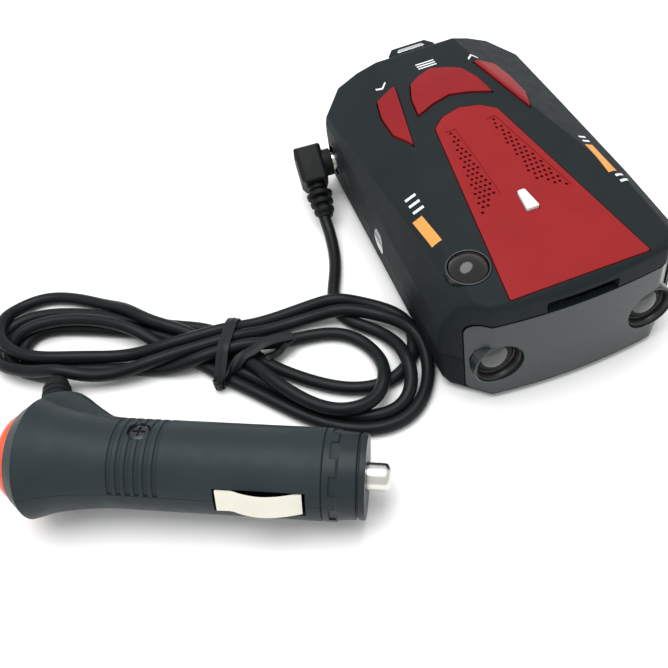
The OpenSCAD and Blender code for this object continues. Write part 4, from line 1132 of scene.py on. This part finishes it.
# --- generic marks on the case
def decal(outline, lift=0.04, cell=0.5):
    """A thin print that lies on the case's top surface: its flat outline cut into strips and laid down."""
    bm = prism(outline, 0, 1)
    for axis in (0, 1):
        low, high = min(p[axis] for p in outline), max(p[axis] for p in outline)
        for at in np.arange(low + cell, high, cell):
            point, normal = Vector((0, 0, 0)), Vector((0, 0, 0))
            point[axis], normal[axis] = at, 1
            bmesh.ops.bisect_plane(bm, geom=bm.verts[:] + bm.edges[:] + bm.faces[:], plane_co=point,
                plane_no=normal)
    for v in bm.verts:
        v.co.z = top_height(v.co.x, v.co.y) + (lift if v.co.z > 0.5 else -0.05)
    return bm


def merge(parts):
    """Several separate solids in one mesh."""
    out = bmesh.new()
    for bm in parts:
        mesh = as_mesh("temporary", bm)
        out.from_mesh(mesh)
        bpy.data.meshes.remove(mesh)
    return out


def bar_outline(x, y, length, width, heading):
    """A straight bar centred at (x, y), its length along the heading in degrees."""
    c, s = cos(radians(heading)), sin(radians(heading))
    corners = [(-length / 2, -width / 2), (length / 2, -width / 2), (length / 2, width / 2),
        (-length / 2, width / 2)]
    return [(x + c * a - s * b, y + s * a + c * b) for a, b in corners]


def marks(name, outlines, material):
    piece(name, merge([decal(o) for o in outlines]), material, "upper_case", replaces=False, weighted=False)


SIDE_HEADING = 90
marks("side_ticks_left", [bar_outline(-24.3, -7.0 - 2.6 * k, 0.9, 2.8, SIDE_HEADING) for k in range(3)],
    WHITE_INK)
marks("side_ticks_right", [bar_outline(24.0, y, 0.8, 2.0, SIDE_HEADING)
    for y in (-6.2, -8.2, -23.6, -25.8)], WHITE_INK)
marks("side_block_left", [bar_outline(-25.3, -19.8, 10.4, 2.6, SIDE_HEADING + 4)], ORANGE_INK)
marks("side_block_right", [bar_outline(23.4, -16, 12, 2.2, SIDE_HEADING - 2)], ORANGE_INK)
marks("menu_bars", [bar_outline(0, 38.3 + 1.1 * k, 5.6, 0.5, 0) for k in range(3)], WHITE_INK)


def chevron(x, y, size, rising):
    """Two strokes that meet at the middle."""
    half, thick = (size * 0.5, 0.8) if rising else (-size * 0.5, -0.8)
    top, bottom = (x, y + half + thick), (x, y + half)
    return [[bottom, (x + size, y - half), (x + size, y - half + thick), top],
            [top, (x - size, y - half + thick), (x - size, y - half), bottom]]


marks("up_chevron", chevron(13.0, 36.0, 1.5, True), WHITE_INK)
marks("down_chevron", chevron(-14.9, 37.0, 1.5, False), WHITE_INK)

# --- materials of the CAD pieces that stay
STAYING = (
    (BOARD, "laser_sensor_board main_circuit_board plug_circuit_board"),
    (PART, "laser_photodiodes dome_sensor led_display button_switches dc_jack plug_components"),
    (STEEL, "speaker_frame speaker_magnet case_screws contact_spring"),
    (SEAL, "side_sticker"), (DISPLAY, "display_window"), (ZINC, "horn_antenna"), (GOLD, "microwave_board"),
    (PAPER_CONE, "speaker_cone"), (LABEL, "rating_label"), (PAD, "anti_slip_pad"), (GLASS, "fuse"),
    (NICKEL, "dc_plug_barrel"), (NOSE_MAT, "fuse_tube"),
)
for material, names in STAYING:
    for name in names.split():
        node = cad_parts[name]
        if not node.material_slots:
            node.data.materials.append(material)
        for held in node.material_slots:
            held.material = material

EDGES = {"laser_photodiodes": 0.2, "dome_sensor": 0.2, "led_display": 0.3, "horn_antenna": 0.4,
    "button_switches": 0.2, "dc_jack": 0.25, "anti_slip_pad": 0.25, "plug_components": 0.25,
    "speaker_magnet": 0.4, "speaker_frame": 0.2}
for name, width in EDGES.items():
    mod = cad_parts[name].modifiers.new("soft_edges", "BEVEL")
    mod.width = width * MM
    mod.segments = 2
    mod.limit_method = "ANGLE"
    mod.angle_limit = radians(40)

# --- floor and light
floor_mat = moulded("floor_paper", (0.9, 0.9, 0.9), 0.75, 300, 0.02, 0.01, patches=3)
floor_mesh = bmesh.new()
bmesh.ops.create_grid(floor_mesh, x_segments=4, y_segments=4, size=1.6)
floor = placed("floor", as_mesh("floor", floor_mesh))
floor.data.materials.append(floor_mat)

world = bpy.data.worlds.new("studio")
world.use_nodes = True
background = world.node_tree.nodes["Background"]
background.inputs["Color"].default_value = (1.0, 1.0, 1.0, 1)
background.inputs["Strength"].default_value = 0.82
scene.world = world
scene.view_settings.view_transform = "Standard"

SOFTBOX_AT = Vector((-0.1, 0.1, 0.85))
MIDDLE = Vector((-0.05, 0, 0.02))
softbox_data = bpy.data.lights.new("softbox_top", "AREA")
softbox_data.shape = "ELLIPSE"
softbox_data.size = 0.9
softbox_data.size_y = 0.7
softbox_data.energy = 7.5
softbox = placed("softbox_top", softbox_data)
softbox.location = SOFTBOX_AT
softbox.rotation_euler = (MIDDLE - SOFTBOX_AT).to_track_quat("-Z", "Y").to_euler()
